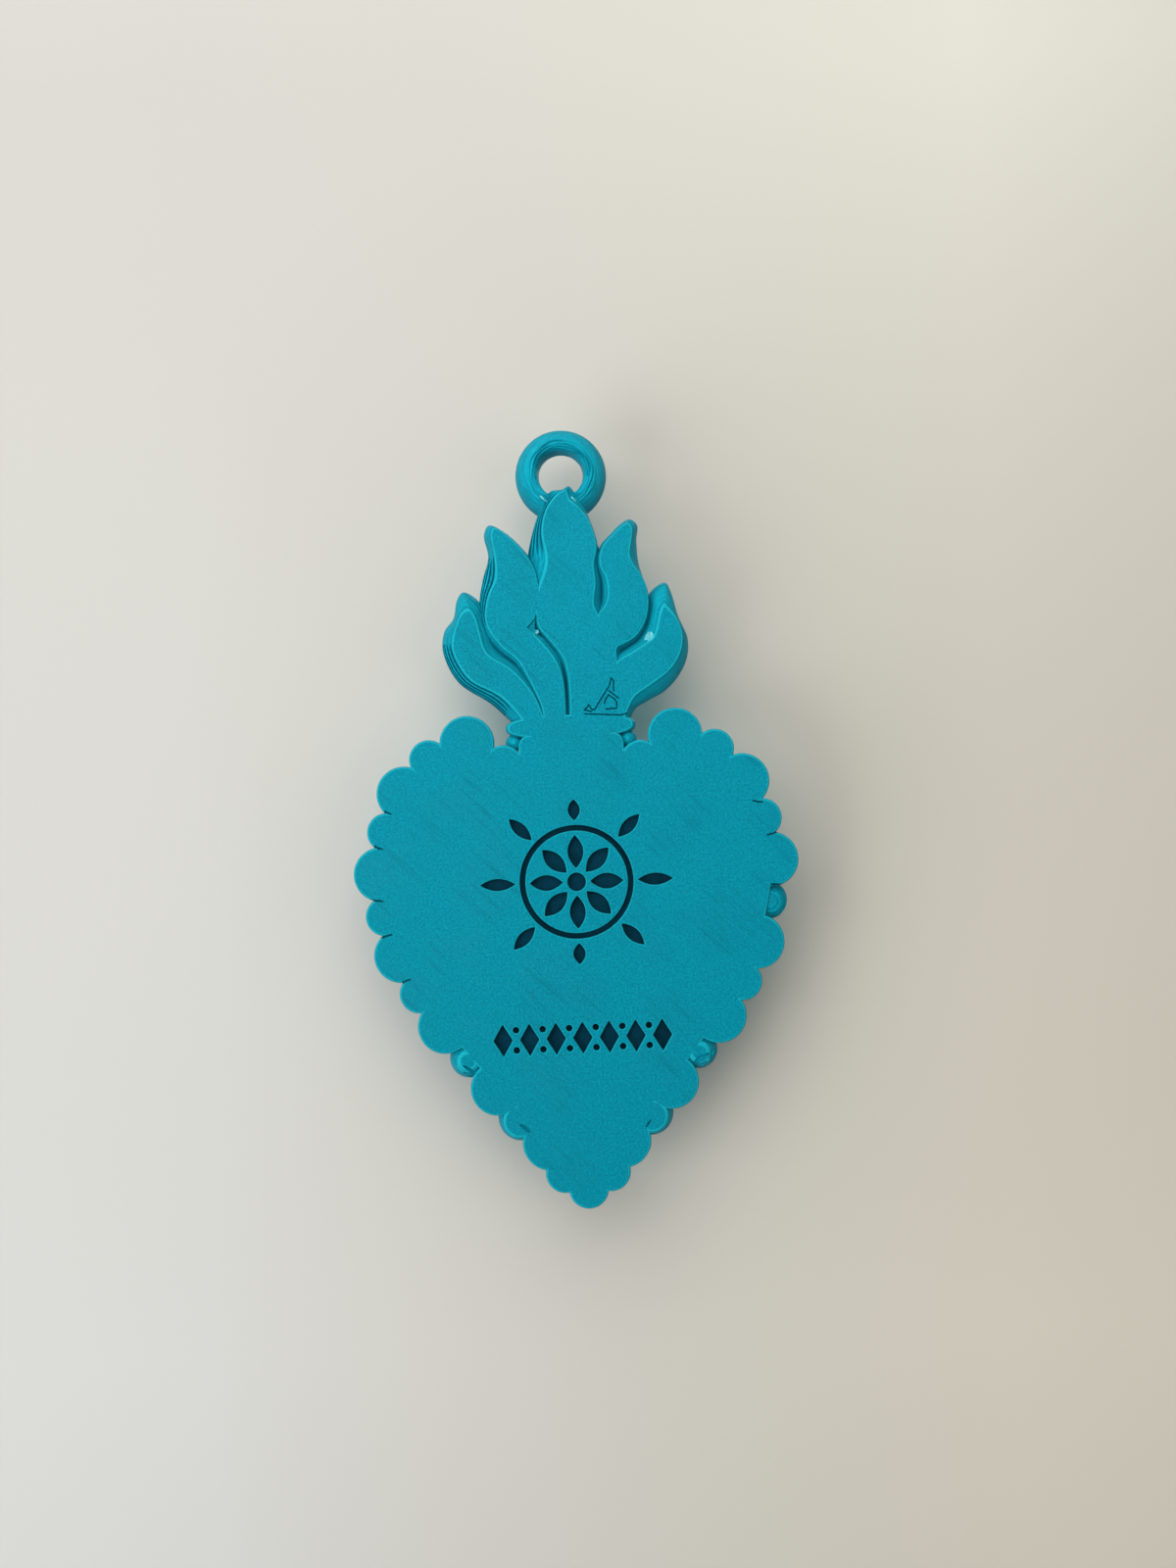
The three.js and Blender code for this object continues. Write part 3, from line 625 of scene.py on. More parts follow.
ENGRAVING_DEPTH = 1.2
RIM = 0.25
ROSETTE_HEIGHT = 67.0
ROSETTE_PETALS = 8
ROSETTE_MIDDLE = 2.0
PETAL_WIDTH = 3.4
BAND_RADIUS = 12.4
BAND_WIDTH = 1.2
LEAF_LENGTH = 4.6
LEAF_SIDE_GAIN = 3.0
LEAF_WIDTH = 2.6
ENGRAVING_GAP = 1.0
STRIP_HEIGHT = 33.0
STRIP_PITCH = 5.8
STRIP_LOZENGES = 7
LOZENGE = (2.1, 3.5)
DOT_RADIUS = 0.7
DOT_RISE = 2.2
RIM_STEPS = 3
DISC_POINTS = 48
DOT_POINTS = 24
PETAL_POINTS = 25
BAND_POINTS = 160
LOZENGE_EDGE_POINTS = 8


def pocket_profile():
    """Steps down a pocket's wall: how far it is widened, and how high it lies."""
    steps = [(RIM, CUTTER_RISE)]
    for j in range(RIM_STEPS + 1):
        turn = QUARTER * j / RIM_STEPS
        steps.append((RIM * (1 - math.sin(turn)), -RIM * (1 - math.cos(turn))))
    steps.append((0, -ENGRAVING_DEPTH + RIM))
    steps.append((-RIM / 2, -ENGRAVING_DEPTH))
    return steps


def pocket(outline):
    return capped_skin([level(offset(outline, grow), z) for grow, z in pocket_profile()])


def disc(radius, x, y, steps):
    return circle(steps) * radius + [x, y]


def petal(start, end, width, turn):
    """An outline with two pointed ends, on a ray from the rosette's middle."""
    t = np.linspace(0, 1, PETAL_POINTS)[:-1]

    def half(width, a, b):
        along = a * (1 - t) ** 2 + (a + b) * t * (1 - t) + b * t ** 2
        return np.column_stack([2 * t * (1 - t) * width, along])

    p = np.concatenate([half(width, start, end), half(-width, end, start)])
    c, s = math.cos(turn), math.sin(turn)
    return np.column_stack([c * p[:, 0] - s * p[:, 1], s * p[:, 0] + c * p[:, 1] + ROSETTE_HEIGHT])


def band():
    """The pocket of the band: a closed profile that goes all the way round."""
    inner = [(BAND_RADIUS - BAND_WIDTH - grow, z) for grow, z in pocket_profile()]
    outer = [(BAND_RADIUS + grow, z) for grow, z in reversed(pocket_profile())]
    profile = inner + outer
    angles = np.linspace(0, 2 * math.pi, BAND_POINTS, endpoint=False)
    points = [(r * math.cos(a), r * math.sin(a) + ROSETTE_HEIGHT, z) for a in angles for r, z in profile]
    return points, tube_faces(BAND_POINTS, len(profile))


def pockets():
    made = [pocket(disc(ROSETTE_MIDDLE, 0, ROSETTE_HEIGHT, DISC_POINTS)), band()]
    for i in range(ROSETTE_PETALS):
        turn = 2 * math.pi * i / ROSETTE_PETALS
        start = BAND_RADIUS + ENGRAVING_GAP
        leaf_end = start + LEAF_LENGTH + LEAF_SIDE_GAIN * abs(math.sin(turn))
        made.append(pocket(petal(ROSETTE_MIDDLE + ENGRAVING_GAP, BAND_RADIUS - BAND_WIDTH - ENGRAVING_GAP,
                                 PETAL_WIDTH, turn)))
        made.append(pocket(petal(start, leaf_end, LEAF_WIDTH, turn)))
    for i in range(STRIP_LOZENGES):
        x = (i - (STRIP_LOZENGES - 1) / 2) * STRIP_PITCH
        w, h = LOZENGE
        corners = np.array([(w, 0), (0, h), (-w, 0), (0, -h)])
        edges = [np.linspace(a, b, LOZENGE_EDGE_POINTS, endpoint=False)
                 for a, b in zip(corners, np.roll(corners, -1, axis=0))]
        made.append(pocket(np.concatenate(edges) + [x, STRIP_HEIGHT]))
        if i:
            for rise in (-DOT_RISE, DOT_RISE):
                made.append(pocket(disc(DOT_RADIUS, x - STRIP_PITCH / 2, STRIP_HEIGHT + rise, DOT_POINTS)))
    return made


# Pieces: each is a whole form with a rounded rim, less the forms that it gives way to

cutters = []


def cutter_object(shape):
    obj = make_object("cutter_%d" % len(cutters), *shape)
    cutters.append(obj)
    return obj


def add_boolean(obj, operation, other, solver="MANIFOLD"):
    mod = obj.modifiers.new("cut", "BOOLEAN")
    mod.operation = operation
    mod.solver = solver
    mod.object = other


pieces = {}
heart = make_object("visual_heart_body", *dome(False))
heart_cutter = cutter_object(dome(True))
neck_cutter = cutter_object(neck(True))
collar_cutter = cutter_object(collar(True))
add_boolean(heart, "UNION", cutter_object(neck(False)))
for side in (-1, 1):
    add_boolean(heart, "UNION", cutter_object(neck_fill(side, False)))
fill_cutters = [cutter_object(neck_fill(side, True)) for side in (-1, 1)]
for shape in pockets():
    add_boolean(heart, "DIFFERENCE", cutter_object(shape))
pieces["heart_body"] = heart

pieces["collar"] = make_object("visual_collar", *collar(False))
add_boolean(pieces["collar"], "DIFFERENCE", neck_cutter)

flame_cutters = {}
NEARER = {
    "flame_centre": [],
    "flame_left_inner": ["flame_centre"],
    "flame_right_inner": ["flame_centre"],
    "flame_left_outer": ["flame_centre", "flame_left_inner"],
    "flame_right_outer": ["flame_centre", "flame_right_inner"],
}
for name, nearer in NEARER.items():
    pieces[name] = make_object("visual_" + name, *flame(name, False))
    flame_cutters[name] = cutter_object(flame(name, True))
    add_boolean(pieces[name], "DIFFERENCE", collar_cutter)
    for other in nearer:
        add_boolean(pieces[name], "DIFFERENCE", flame_cutters[other])

pieces["hanging_ring"] = make_object("visual_hanging_ring", *ring())
add_boolean(pieces["hanging_ring"], "DIFFERENCE", flame_cutters["flame_centre"])

tip_bead = {"name": "border_bead_tip", "ball": (TIP_BEAD_RADIUS, 0, 0, BEAD_SINK), "small": False}
sides = [border_beads("left"), border_beads("right")]
border = [tip_bead, *sides[0], *sides[1]]
bead_cutters = {bead["name"]: cutter_object(ball(*bead["ball"], cutter=True)) for bead in border}


def bead_piece(bead, others):
    obj = make_object("visual_" + bead["name"], *ball(*bead["ball"]))
    for other in [heart_cutter, neck_cutter, collar_cutter, *others]:
        add_boolean(obj, "DIFFERENCE", other)
    pieces[bead["name"]] = obj


bead_piece(tip_bead, [])
for beads, fill in zip(sides, fill_cutters):
    for k, bead in enumerate(beads):
        neighbours = []
        if bead["small"]:
            neighbours.append(beads[k - 1] if k else tip_bead)
            if k + 1 < len(beads):
                neighbours.append(beads[k + 1])
        last = [fill] if k + 1 == len(beads) else []
        bead_piece(bead, last + [bead_cutters[other["name"]] for other in neighbours])
for bead in neck_beads():
    bead_piece(bead, [bead_cutters[beads[-1]["name"]] for beads in sides])

# Marks of the print: grooves and pits in the flat back, and blobs and strands beside it

GROOVES = [
    [(5.5, 104.5), (7.1, 107.0), (8.8, 109.4), (9.3, 111.1), (9.8, 110.5), (9.7, 108.3)],
    [(8.7, 108.4), (10.7, 106.7)],
    [(8.6, 107.5), (7.8, 106.4), (7.6, 105.6)],
    [(8.6, 107.5), (9.8, 106.5), (10.3, 105.8), (10.2, 104.5), (7.9, 104.4)],
    [(4.1, 105.6), (4.9, 104.3), (5.5, 104.5)],
    [(4.1, 105.3), (3.2, 104.4), (4.7, 104.0)],
    [(3.3, 103.5), (6.5, 103.3), (11.2, 103.0), (12.3, 103.3)],
]
THIN_GROOVES = [
    [(-4.93, 122.34), (-3.18, 120.71), (-1.44, 119.23)],
    [(-14.23, 120.06), (-11.74, 117.8), (-9.08, 115.2)],
    [(5.82, 117.65), (7.01, 116.41), (8.27, 115.16)],
    [(-10.94, 105.7), (-9.41, 103.99)],
    [(6.3, 104.7), (7.5, 106.7), (8.7, 108.4)],
]
# Creases between two beads, where the wall of one layer turns inwards
CREASES = [
    [(-41.2, 84.0), (-40.57, 83.74), (-39.88, 83.44)],
    [(-43.64, 76.54), (-42.9, 76.12), (-42.02, 75.83)],
    [(-44.53, 64.88), (-43.48, 64.6), (-42.43, 64.46)],
    [(-42.88, 56.55), (-41.86, 56.87), (-40.78, 57.14)],
    [(-38.75, 46.59), (-37.88, 46.98), (-37.06, 47.27)],
    [(39.12, 83.17), (40.07, 82.91), (41.14, 82.83)],
    [(41.96, 75.62), (43.0, 75.83), (44.18, 76.17)],
    [(42.34, 64.83), (43.41, 64.79), (44.58, 64.68)],
]
GROOVE_HALF_WIDTH = 0.17
GROOVE_DEPTH = 0.34
THIN_GROOVE_HALF_WIDTH = 0.12
THIN_GROOVE_DEPTH = 0.2
CREASE_HALF_WIDTH = 0.2
# The rods that cut them have their middle a little above the back
ROD_LIFT = 0.03
ROD_SIDES = 8
ROD_TAPER = 0.4
PITS = [(-6.3, 105.1), (-16.8, 111.0), (-16.2, 123.5), (-6.8, 126.9), (-5.5, 124.3), (-7.5, 112.3),
        (1.2, 110.2), (1.0, 108.3), (1.0, 106.6), (-1.1, 102.5),
        (0.0, 102.6), (11.9, 105.1), (10.7, 111.5), (10.6, 110.3), (-6.62, 110.01), (-5.92, 108.38),
        (13.88, 118.59), (14.57, 118.78), (0.25, 115.08), (0.57, 112.93)]
PIT_RADIUS = 0.24
PIT_LIFT = 0.04
PIT_STEPS = 12
SLOT_FLOOR = 0.8
CRESCENT_POINTS = 13


def rod(start, end, half_width, half_height):
    """A closed rod between two points (x, y, z) at about one level, with tapered ends."""
    a, b = np.array(start, float), np.array(end, float)
    along = (b - a) / np.linalg.norm(b - a)
    sections = [(a - along * half_width, ROD_TAPER), (a, 1.0), (b, 1.0), (b + along * half_width, ROD_TAPER)]
    n = ROD_SIDES
    points = []
    for place, share in sections:
        for k in range(n):
            turn = 2 * math.pi * (k + 0.5) / n
            across = share * half_width * math.cos(turn)
            up = share * half_height * math.sin(turn)
            points.append(place + [along[1] * across, -along[0] * across, up])
    faces = [tuple(reversed(range(n)))]
    for i in range(len(sections) - 1):
        for k in range(n):
            m = (k + 1) % n
            faces.append((i * n + k, i * n + m, (i + 1) * n + m, (i + 1) * n + k))
    faces.append(tuple(range(len(points) - n, len(points))))
    return points, faces


def many(shapes):
    """Several closed shapes that don't touch, as one."""
    points, faces = [], []
    for p, f in shapes:
        faces += [tuple(i + len(points) for i in face) for face in f]
        points += [tuple(v) for v in p]
    return points, faces


def boxes_meet(a, b):
    ca, cb = (np.array([o.matrix_world @ Vector(c) for c in o.bound_box]) for o in (a, b))
    return bool(np.all(ca.min(0) <= cb.max(0)) and np.all(cb.min(0) <= ca.max(0)))


def slot(outline, depth):
    """A pocket down from the back, with a smaller floor."""
    p = np.array(outline, float)
    x, y = p[:, 0], p[:, 1]
    if np.sum(x * np.roll(y, -1) - np.roll(x, -1) * y) < 0:
        p = p[::-1]
    middle = p.mean(axis=0)
    return capped_skin([level(p, CUTTER_RISE), level(middle + SLOT_FLOOR * (p - middle), -depth)])


def crescent(start, end, first, second):
    """An outline from start to end over one point, and back over the other."""
    a, b = np.array(start, float), np.array(end, float)
    t = np.linspace(0, 1, CRESCENT_POINTS)[:-1, None]

    def over(p, q, middle):
        turn = 2 * np.array(middle, float) - (p + q) / 2
        return p * (1 - t) ** 2 + 2 * turn * t * (1 - t) + q * t ** 2

    return np.concatenate([over(a, b, first), over(b, a, second)])


# Slots: the outline and the depth
SLOTS = [
    (crescent((-26.7, 28.2), (-23.2, 25.8), (-24.7, 27.4), (-25.2, 26.7)), 0.9),
    (crescent((-14.9, 15.0), (-12.1, 12.5), (-13.0, 14.2), (-13.6, 13.4)), 0.7),
    (crescent((23.5, 25.9), (27.7, 28.9), (24.9, 28.0), (25.9, 27.0)), 0.9),
    (crescent((12.7, 12.7), (14.35, 14.9), (13.3, 14.0), (13.75, 13.6)), 0.7),
    ([(-8.97, 122.93), (-7.74, 124.27), (-6.68, 125.51), (-6.2, 124.5), (-6.0, 122.8), (-5.3, 121.0),
      (-4.5, 119.5), (-5.6, 119.6), (-7.2, 121.4)], 0.5),
]
LINE_KINDS = [
    (GROOVES, GROOVE_HALF_WIDTH, GROOVE_DEPTH),
    (THIN_GROOVES, THIN_GROOVE_HALF_WIDTH, THIN_GROOVE_DEPTH),
    (CREASES, CREASE_HALF_WIDTH, GROOVE_DEPTH),
]
rods = [rod((*start, ROD_LIFT), (*end, ROD_LIFT), half_width, depth)
        for lines, half_width, depth in LINE_KINDS
        for line in lines for start, end in zip(line, line[1:])]
marks = cutter_object(many([blob(PIT_RADIUS, x, y, PIT_LIFT, PIT_STEPS) for x, y in PITS]))
for shape in [*rods, *(slot(*each) for each in SLOTS)]:
    add_boolean(marks, "UNION", cutter_object(shape), "EXACT")

BALLS = {bead["name"]: bead["ball"] for bead in border}
# Strands that lie on a border bead: which one, their half width, and their places
STRANDS = [
    ("left_10", 0.3, [(-29.3, 31.1), (-28.4, 29.1), (-27.6, 27.9), (-26.4, 26.5), (-25.0, 25.1),
                      (-23.8, 24.9)]),
    ("left_10", 0.2, [(-28.6, 30.6), (-27.6, 28.6), (-26.3, 27.2)]),
    ("left_12", 0.16, [(-18.1, 17.1), (-18.2, 16.2), (-17.7, 15.3), (-16.4, 15.3), (-15.4, 14.2),
                       (-14.4, 12.8)]),
    ("left_12", 0.16, [(-17.6, 13.9), (-16.5, 14.1), (-15.5, 12.9), (-14.9, 12.0)]),
    ("left_12", 0.16, [(-16.9, 16.4), (-15.9, 16.3), (-15.1, 15.4)]),
    ("right_10", 0.3, [(29.5, 30.5), (28.9, 29.3), (28.2, 28.3), (27.0, 27.0), (25.8, 25.8)]),
    ("right_10", 0.25, [(28.4, 29.4), (29.1, 28.6), (28.3, 27.7)]),
    ("right_06", 0.17, [(43.4, 64.2), (44.8, 63.4), (45.6, 61.6), (45.5, 59.2), (44.5, 57.5),
                        (42.6, 57.2)]),
    ("right_06", 0.17, [(43.0, 62.8), (44.0, 62.6), (44.7, 61.0), (44.4, 59.2), (43.2, 58.4),
                        (42.4, 59.4), (42.6, 61.4), (43.0, 62.8)]),
    ("right_06", 0.17, [(43.2, 61.4), (43.9, 60.6), (43.3, 59.9)]),
]
for place, half_width, line in STRANDS:
    name = "border_bead_" + place
    radius, x, y, sink = BALLS[name]
    raised = []
    for px, py in line:
        away = min(math.hypot(px - x, py - y), radius)
        raised.append((px, py, min(-sink + math.sqrt(radius ** 2 - away ** 2), -half_width)))
    for start, end in zip(raised, raised[1:]):
        add_boolean(pieces[name], "UNION", cutter_object(rod(start, end, half_width, half_width)), "EXACT")
# Pale places (x, y, reach), where blobs and strands closed a gap between two forms: pale plastic with a
# painted highlight
PALE_AND_HIGHLIGHT_SPOTS = {
    "flame_right_outer": [(17.9, 119.9, 1.0), (24.2, 120.9, 0.5), (24.0, 121.8, 0.5)],
    "flame_left_inner": [(-6.53, 121.9, 0.6)],
    "hanging_ring": [(-4.3, 151.3, 0.5), (-3.0, 150.3, 0.4), (2.6, 150.6, 0.8)],
}
SPOT_FORMS = [
    ("flame_right_outer", blob(0.8, 17.9, 119.9, -1.1, 24)),
    ("flame_right_outer", rod((24.3, 120.5, -0.45), (23.9, 122.1, -0.45), 0.16, 0.3)),
    ("flame_left_inner", blob(0.5, -6.53, 121.9, -0.7, 16)),
    ("hanging_ring", rod((-4.6, 151.6, -1.1), (-3.8, 150.8, -1.1), 0.22, 0.4)),
    ("hanging_ring", rod((-3.8, 150.8, -1.1), (-2.75, 150.2, -1.2), 0.2, 0.4)),
    ("hanging_ring", rod((2.2, 151.0, -1.0), (3.0, 150.1, -0.9), 0.26, 0.5)),
]
for name, shape in SPOT_FORMS:
    add_boolean(pieces[name], "UNION", cutter_object(shape), "EXACT")

bpy.context.view_layer.update()
for obj in pieces.values():
    if boxes_meet(obj, marks):
        add_boolean(obj, "DIFFERENCE", marks, "EXACT")

# The cuts are made final

ON_BACK = 2e-6
bpy.context.view_layer.update()
graph = bpy.context.evaluated_depsgraph_get()
final = {name: bpy.data.meshes.new_from_object(obj.evaluated_get(graph)) for name, obj in pieces.items()}


def tidy_back(mesh):
    """Puts what lies within two microns of the back's plane exactly on it."""
    places = np.empty(3 * len(mesh.vertices), np.float32)
    mesh.vertices.foreach_get("co", places)
    y = places[1::3]
    y[np.abs(y) < ON_BACK] = 0
    mesh.vertices.foreach_set("co", places)
    mesh.update()


for name, obj in pieces.items():
    obj.modifiers.clear()
    obj.data = final[name]
    tidy_back(obj.data)
for obj in cutters:
    bpy.data.objects.remove(obj)


# Materials. Lengths are in metres, and tones are linear red, green, blue and alpha.

LINE_PITCH = 0.000457
LAYER = 0.0002
FLAT_DEPTH = 0.00001
RIM_DEPTH = 0.00025
SIDE_DEPTH = 2 * RIM_DEPTH
LINE_WARP = 5.0
LINE_STRETCH = 0.05
BAND_STRETCH = (0.07, 1.0, 0.07)
DIAGONAL = math.sqrt(0.5)
# Noises: scale, detail, roughness, and for a stretched one its range and least value
NOISES = {
    "warp": (150.0, 1.0, 0.5),
    "patches": (75.0, 3.0, 0.6, 0.44, 0.62, 0.12),
    "grain": (2000.0, 1.0, 0.7),
    "wobble": (700.0, 2.0, 0.6),
    "speckle": (2100.0, 2.0, 0.8, 0.38, 0.62),
    "deep": (900.0, 2.0, 0.7, 0.52, 0.66),
    "bands": (2600.0, 2.0, 0.7, 0.5, 0.64),
}
# Heights of the bump, in shares of its distance
LINE_HEIGHT = 0.5
LAYER_HEIGHT = 0.7
WOBBLE_HEIGHT = 0.6
# How much of a tone is mixed in where it applies
SHARES = {"side": 0.5, "furrow": 0.3, "crest": 0.2, "bands": 0.4, "deep": 0.3, "rim": 0.62}
# Gains of the painted light on sides and crests, and of the darker tone with painted shade
LIT_GAIN = 1.45
DARK_AND_SHADE_GAIN = 0.6
# The rims' tone is a painted highlight
RIM_HIGHLIGHT = (0.012, 0.55, 0.68, 1.0)
SPECULAR_TINT = (0.15, 0.85, 1.0, 1.0)
# Plastics: light tone, dark tone, and whether it lies in a recess
PLASTICS = {
    "teal_print": ((0.002, 0.346, 0.463, 1.0), (0.0005, 0.222, 0.327, 1.0), False),
    # Painted shade in the grooves and creases
    "groove_painted_shade": ((0.001, 0.12, 0.17, 1.0), (0.0003, 0.06, 0.1, 1.0), True),
    # Dark plastic with painted shade, for the engraving
    "recess_print_and_shade": ((0.0005, 0.03, 0.06, 1.0), (0.0002, 0.008, 0.02, 1.0), True),
    # Pale plastic with a painted highlight, for blobs and specks
    "blob_print_and_highlight": ((0.2, 0.68, 0.76, 1.0), (0.1, 0.52, 0.62, 1.0), False),
}
TEAL, GROOVE_SHADE, RECESS_SHADE, BLOB_HIGHLIGHT = range(len(PLASTICS))
SHARP_ANGLE = math.radians(35)


class Nodes:
    """Short calls that add nodes to an emptied tree and link them."""

    def __init__(self, tree):
        tree.nodes.clear()
        self.tree = tree

    def add(self, kind, inputs=None, **settings):
        node = self.tree.nodes.new("ShaderNode" + kind)
        for key, value in settings.items():
            setattr(node, key, value)
        for key, value in (inputs or {}).items():
            if isinstance(value, bpy.types.NodeSocket):
                self.tree.links.new(value, node.inputs[key])
            else:
                node.inputs[key].default_value = value
        return node

    def math(self, operation, a, b=0.0, c=0.0):
        return self.add("Math", {0: a, 1: b, 2: c}, operation=operation).outputs[0]

    def times(self, a, b):
        return self.math("MULTIPLY", a, b)

    def wave(self, phase):
        """A sine between 0 and 1."""
        return self.math("MULTIPLY_ADD", self.math("SINE", phase), 0.5, 0.5)

    def ramp(self, value, low, high, to_low=0.0, to_high=1.0):
        node = self.add("MapRange", {"Value": value, "From Min": low, "From Max": high,
                                     "To Min": to_low, "To Max": to_high})
        return node.outputs["Result"]

    def mix(self, share, a, b):
        return self.add("Mix", {"Factor": share, 6: a, 7: b}, data_type="RGBA").outputs[2]

    def noise(self, vector, name):
        scale, detail, roughness, *stretch = NOISES[name]
        node = self.add("TexNoise", {"Vector": vector, "Scale": scale, "Detail": detail,
                                     "Roughness": roughness})
        return self.ramp(node.outputs["Fac"], *stretch) if stretch else node.outputs["Fac"]


def new_material(name):
    mat = bpy.data.materials.new(name)
    mat.use_nodes = True
    return mat, Nodes(mat.node_tree)


def scaled(tone, gain):
    return tuple(min(1.0, gain * v) for v in tone[:3]) + (1.0,)


def plastic(name, light, dark, recess):
    mat, n = new_material(name)
    place = n.add("TexCoord").outputs["Object"]
    x, y, z = n.add("SeparateXYZ", {0: place}).outputs
    flat = n.math("LESS_THAN", y, FLAT_DEPTH)
    side = n.math("GREATER_THAN", y, SIDE_DEPTH)
    rim = n.times(n.math("SUBTRACT", 1.0, flat), n.math("LESS_THAN", y, RIM_DEPTH))
    # Lines of the first layer, at 45 degrees, strong in patches, and a fine grain
    slope = n.math("ADD", x, z)
    slant = n.times(slope, DIAGONAL * 2 * math.pi / LINE_PITCH)
    lines = n.wave(n.math("ADD", slant, n.times(n.noise(place, "warp"), LINE_WARP)))
    patches = n.noise(place, "patches")
    on_flat = n.math("ADD", n.times(n.times(lines, patches), LINE_HEIGHT), n.noise(place, "grain"))
    layers = n.times(n.wave(n.times(y, 2 * math.pi / LAYER)), LAYER_HEIGHT)
    on_side = n.math("ADD", layers, n.times(n.noise(place, "wobble"), WOBBLE_HEIGHT))
    height = n.add("Mix", {"Factor": flat, 2: on_side, 3: on_flat}, data_type="FLOAT").outputs[0]
    bump = n.add("Bump", {"Strength": 0.8, "Distance": 0.0002, "Height": height})
    # Painted shade in the furrows between the lines, and painted light on their crests
    on_patches = n.times(patches, flat)
    furrows = n.times(lines, on_patches)
    crests = n.math("SUBTRACT", on_patches, furrows)
    # Some lines are a little darker than the rest, over their whole length
    along = n.times(n.math("SUBTRACT", x, z), LINE_STRETCH * DIAGONAL)
    drawn = n.add("CombineXYZ", {0: n.times(slope, DIAGONAL), 1: along, 2: 0.0}).outputs[0]
    deep = n.times(n.times(n.noise(drawn, "deep"), flat), patches)
    # Layers on the sides differ a little in tone, each along its whole length
    levels = n.add("VectorMath", {0: place, 1: BAND_STRETCH}, operation="MULTIPLY").outputs[0]
    bands = n.times(n.noise(levels, "bands"), side)
    # Painted light on the sides, lighter than the flat first layer, and a painted highlight on the rims
    lit_tone, dark_and_shade = scaled(light, LIT_GAIN), scaled(dark, DARK_AND_SHADE_GAIN)
    tones = [("side", side, lit_tone), ("furrow", furrows, dark_and_shade), ("crest", crests, lit_tone),
             ("bands", bands, dark_and_shade), ("deep", deep, dark_and_shade)]
    # The rims get a painted highlight, except in a recess
    if not recess:
        tones.append(("rim", rim, RIM_HIGHLIGHT))
    colour = n.mix(n.noise(place, "speckle"), dark, light)
    for key, where, tone in tones:
        colour = n.mix(n.times(where, SHARES[key]), colour, tone)
    shader = n.add("BsdfPrincipled", {
        "Base Color": colour, "Roughness": 0.6 if recess else 0.45, "Normal": bump.outputs["Normal"],
        "Specular IOR Level": 0.28, "Specular Tint": SPECULAR_TINT,
    })
    n.add("OutputMaterial", {"Surface": shader.outputs[0]})
    return mat


# Which plastic a face has, by its place in the drawing, in millimetres: some carry painted shade and
# highlights

ROSETTE_REACH = 22
STRIP_REACH = (21, 4.5)
POCKET_TOP = 0.2
POCKET_MARGIN = 0.05
MARK_TOP = 0.01
MARK_MARGIN = 0.06
MARK_LINES = [(start, end, half_width)
              for lines, half_width in ((GROOVES, GROOVE_HALF_WIDTH), (CREASES, CREASE_HALF_WIDTH))
              for line in lines for start, end in zip(line, line[1:])]
SPOT_DEPTH = 1.3


def in_pocket(x, depth, up):
    rosette = math.hypot(x, up - ROSETTE_HEIGHT) < ROSETTE_REACH
    strip = abs(x) < STRIP_REACH[0] and abs(up - STRIP_HEIGHT) < STRIP_REACH[1]
    return POCKET_TOP < depth < ENGRAVING_DEPTH + POCKET_MARGIN and (rosette or strip)


def in_mark(x, depth, up):
    if not MARK_TOP < depth < GROOVE_DEPTH + MARK_MARGIN:
        return False
    for (ax, ay), (bx, by), reach in MARK_LINES:
        dx, dy = bx - ax, by - ay
        share = min(1.0, max(0.0, ((x - ax) * dx + (up - ay) * dy) / (dx * dx + dy * dy)))
        if math.hypot(x - ax - share * dx, up - ay - share * dy) < reach + MARK_MARGIN:
            return True
    return False


def on_spot(name, x, depth, up):
    spots = PALE_AND_HIGHLIGHT_SPOTS.get(name, [])
    return depth < SPOT_DEPTH and any(math.hypot(x - a, up - b) < reach for a, b, reach in spots)


def face_plastic(name, centre):
    place = centre.x / MM, centre.y / MM, centre.z / MM + RING_HEIGHT
    # The engraving gets dark plastic with painted shade
    if name == "heart_body" and in_pocket(*place):
        return RECESS_SHADE
    # Grooves and creases get painted shade
    if in_mark(*place):
        return GROOVE_SHADE
    # Pale spots get pale plastic with a painted highlight
    return BLOB_HIGHLIGHT if on_spot(name, *place) else TEAL


plastics = [plastic(name, *values) for name, values in PLASTICS.items()]
for name, obj in pieces.items():
    mesh = obj.data
    mesh.materials.clear()
    for mat in plastics:
        mesh.materials.append(mat)
    mesh.set_sharp_from_angle(angle=SHARP_ANGLE)
    for face in mesh.polygons:
        face.use_smooth = any(mesh.vertices[i].co.y != 0 for i in face.vertices)
        face.material_index = face_plastic(name, face.center)
    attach(obj, "root")
    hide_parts(name)

# Camera

CAMERA_PLACE = (0.003317, -0.2509, -0.06866)
CAMERA_ROLL = math.radians(2.303)

camera_data = bpy.data.cameras.new("camera")
camera_data.sensor_width = 36
camera_data.lens = 26.4375
camera_data.clip_start = 0.005
camera = new_object("camera", camera_data)
cos_roll, sin_roll = math.cos(CAMERA_ROLL), math.sin(CAMERA_ROLL)
camera.matrix_world = Matrix((
    (cos_roll, sin_roll, 0, CAMERA_PLACE[0]),
    (0, 0, -1, CAMERA_PLACE[1]),
    (-sin_roll, cos_roll, 0, CAMERA_PLACE[2]),
    (0, 0, 0, 1),
))
bpy.context.scene.camera = camera

# Wall that the relief touches: seen and mirrored from the front, and not there for other rays

WALL_Y = 0.0201
WALL_HALF = 1.5
# It fades out between two distances from a middle at this height
WALL_MIDDLE = -0.07
WALL_FADE = (0.25, 0.6, 1.0, 0.0)
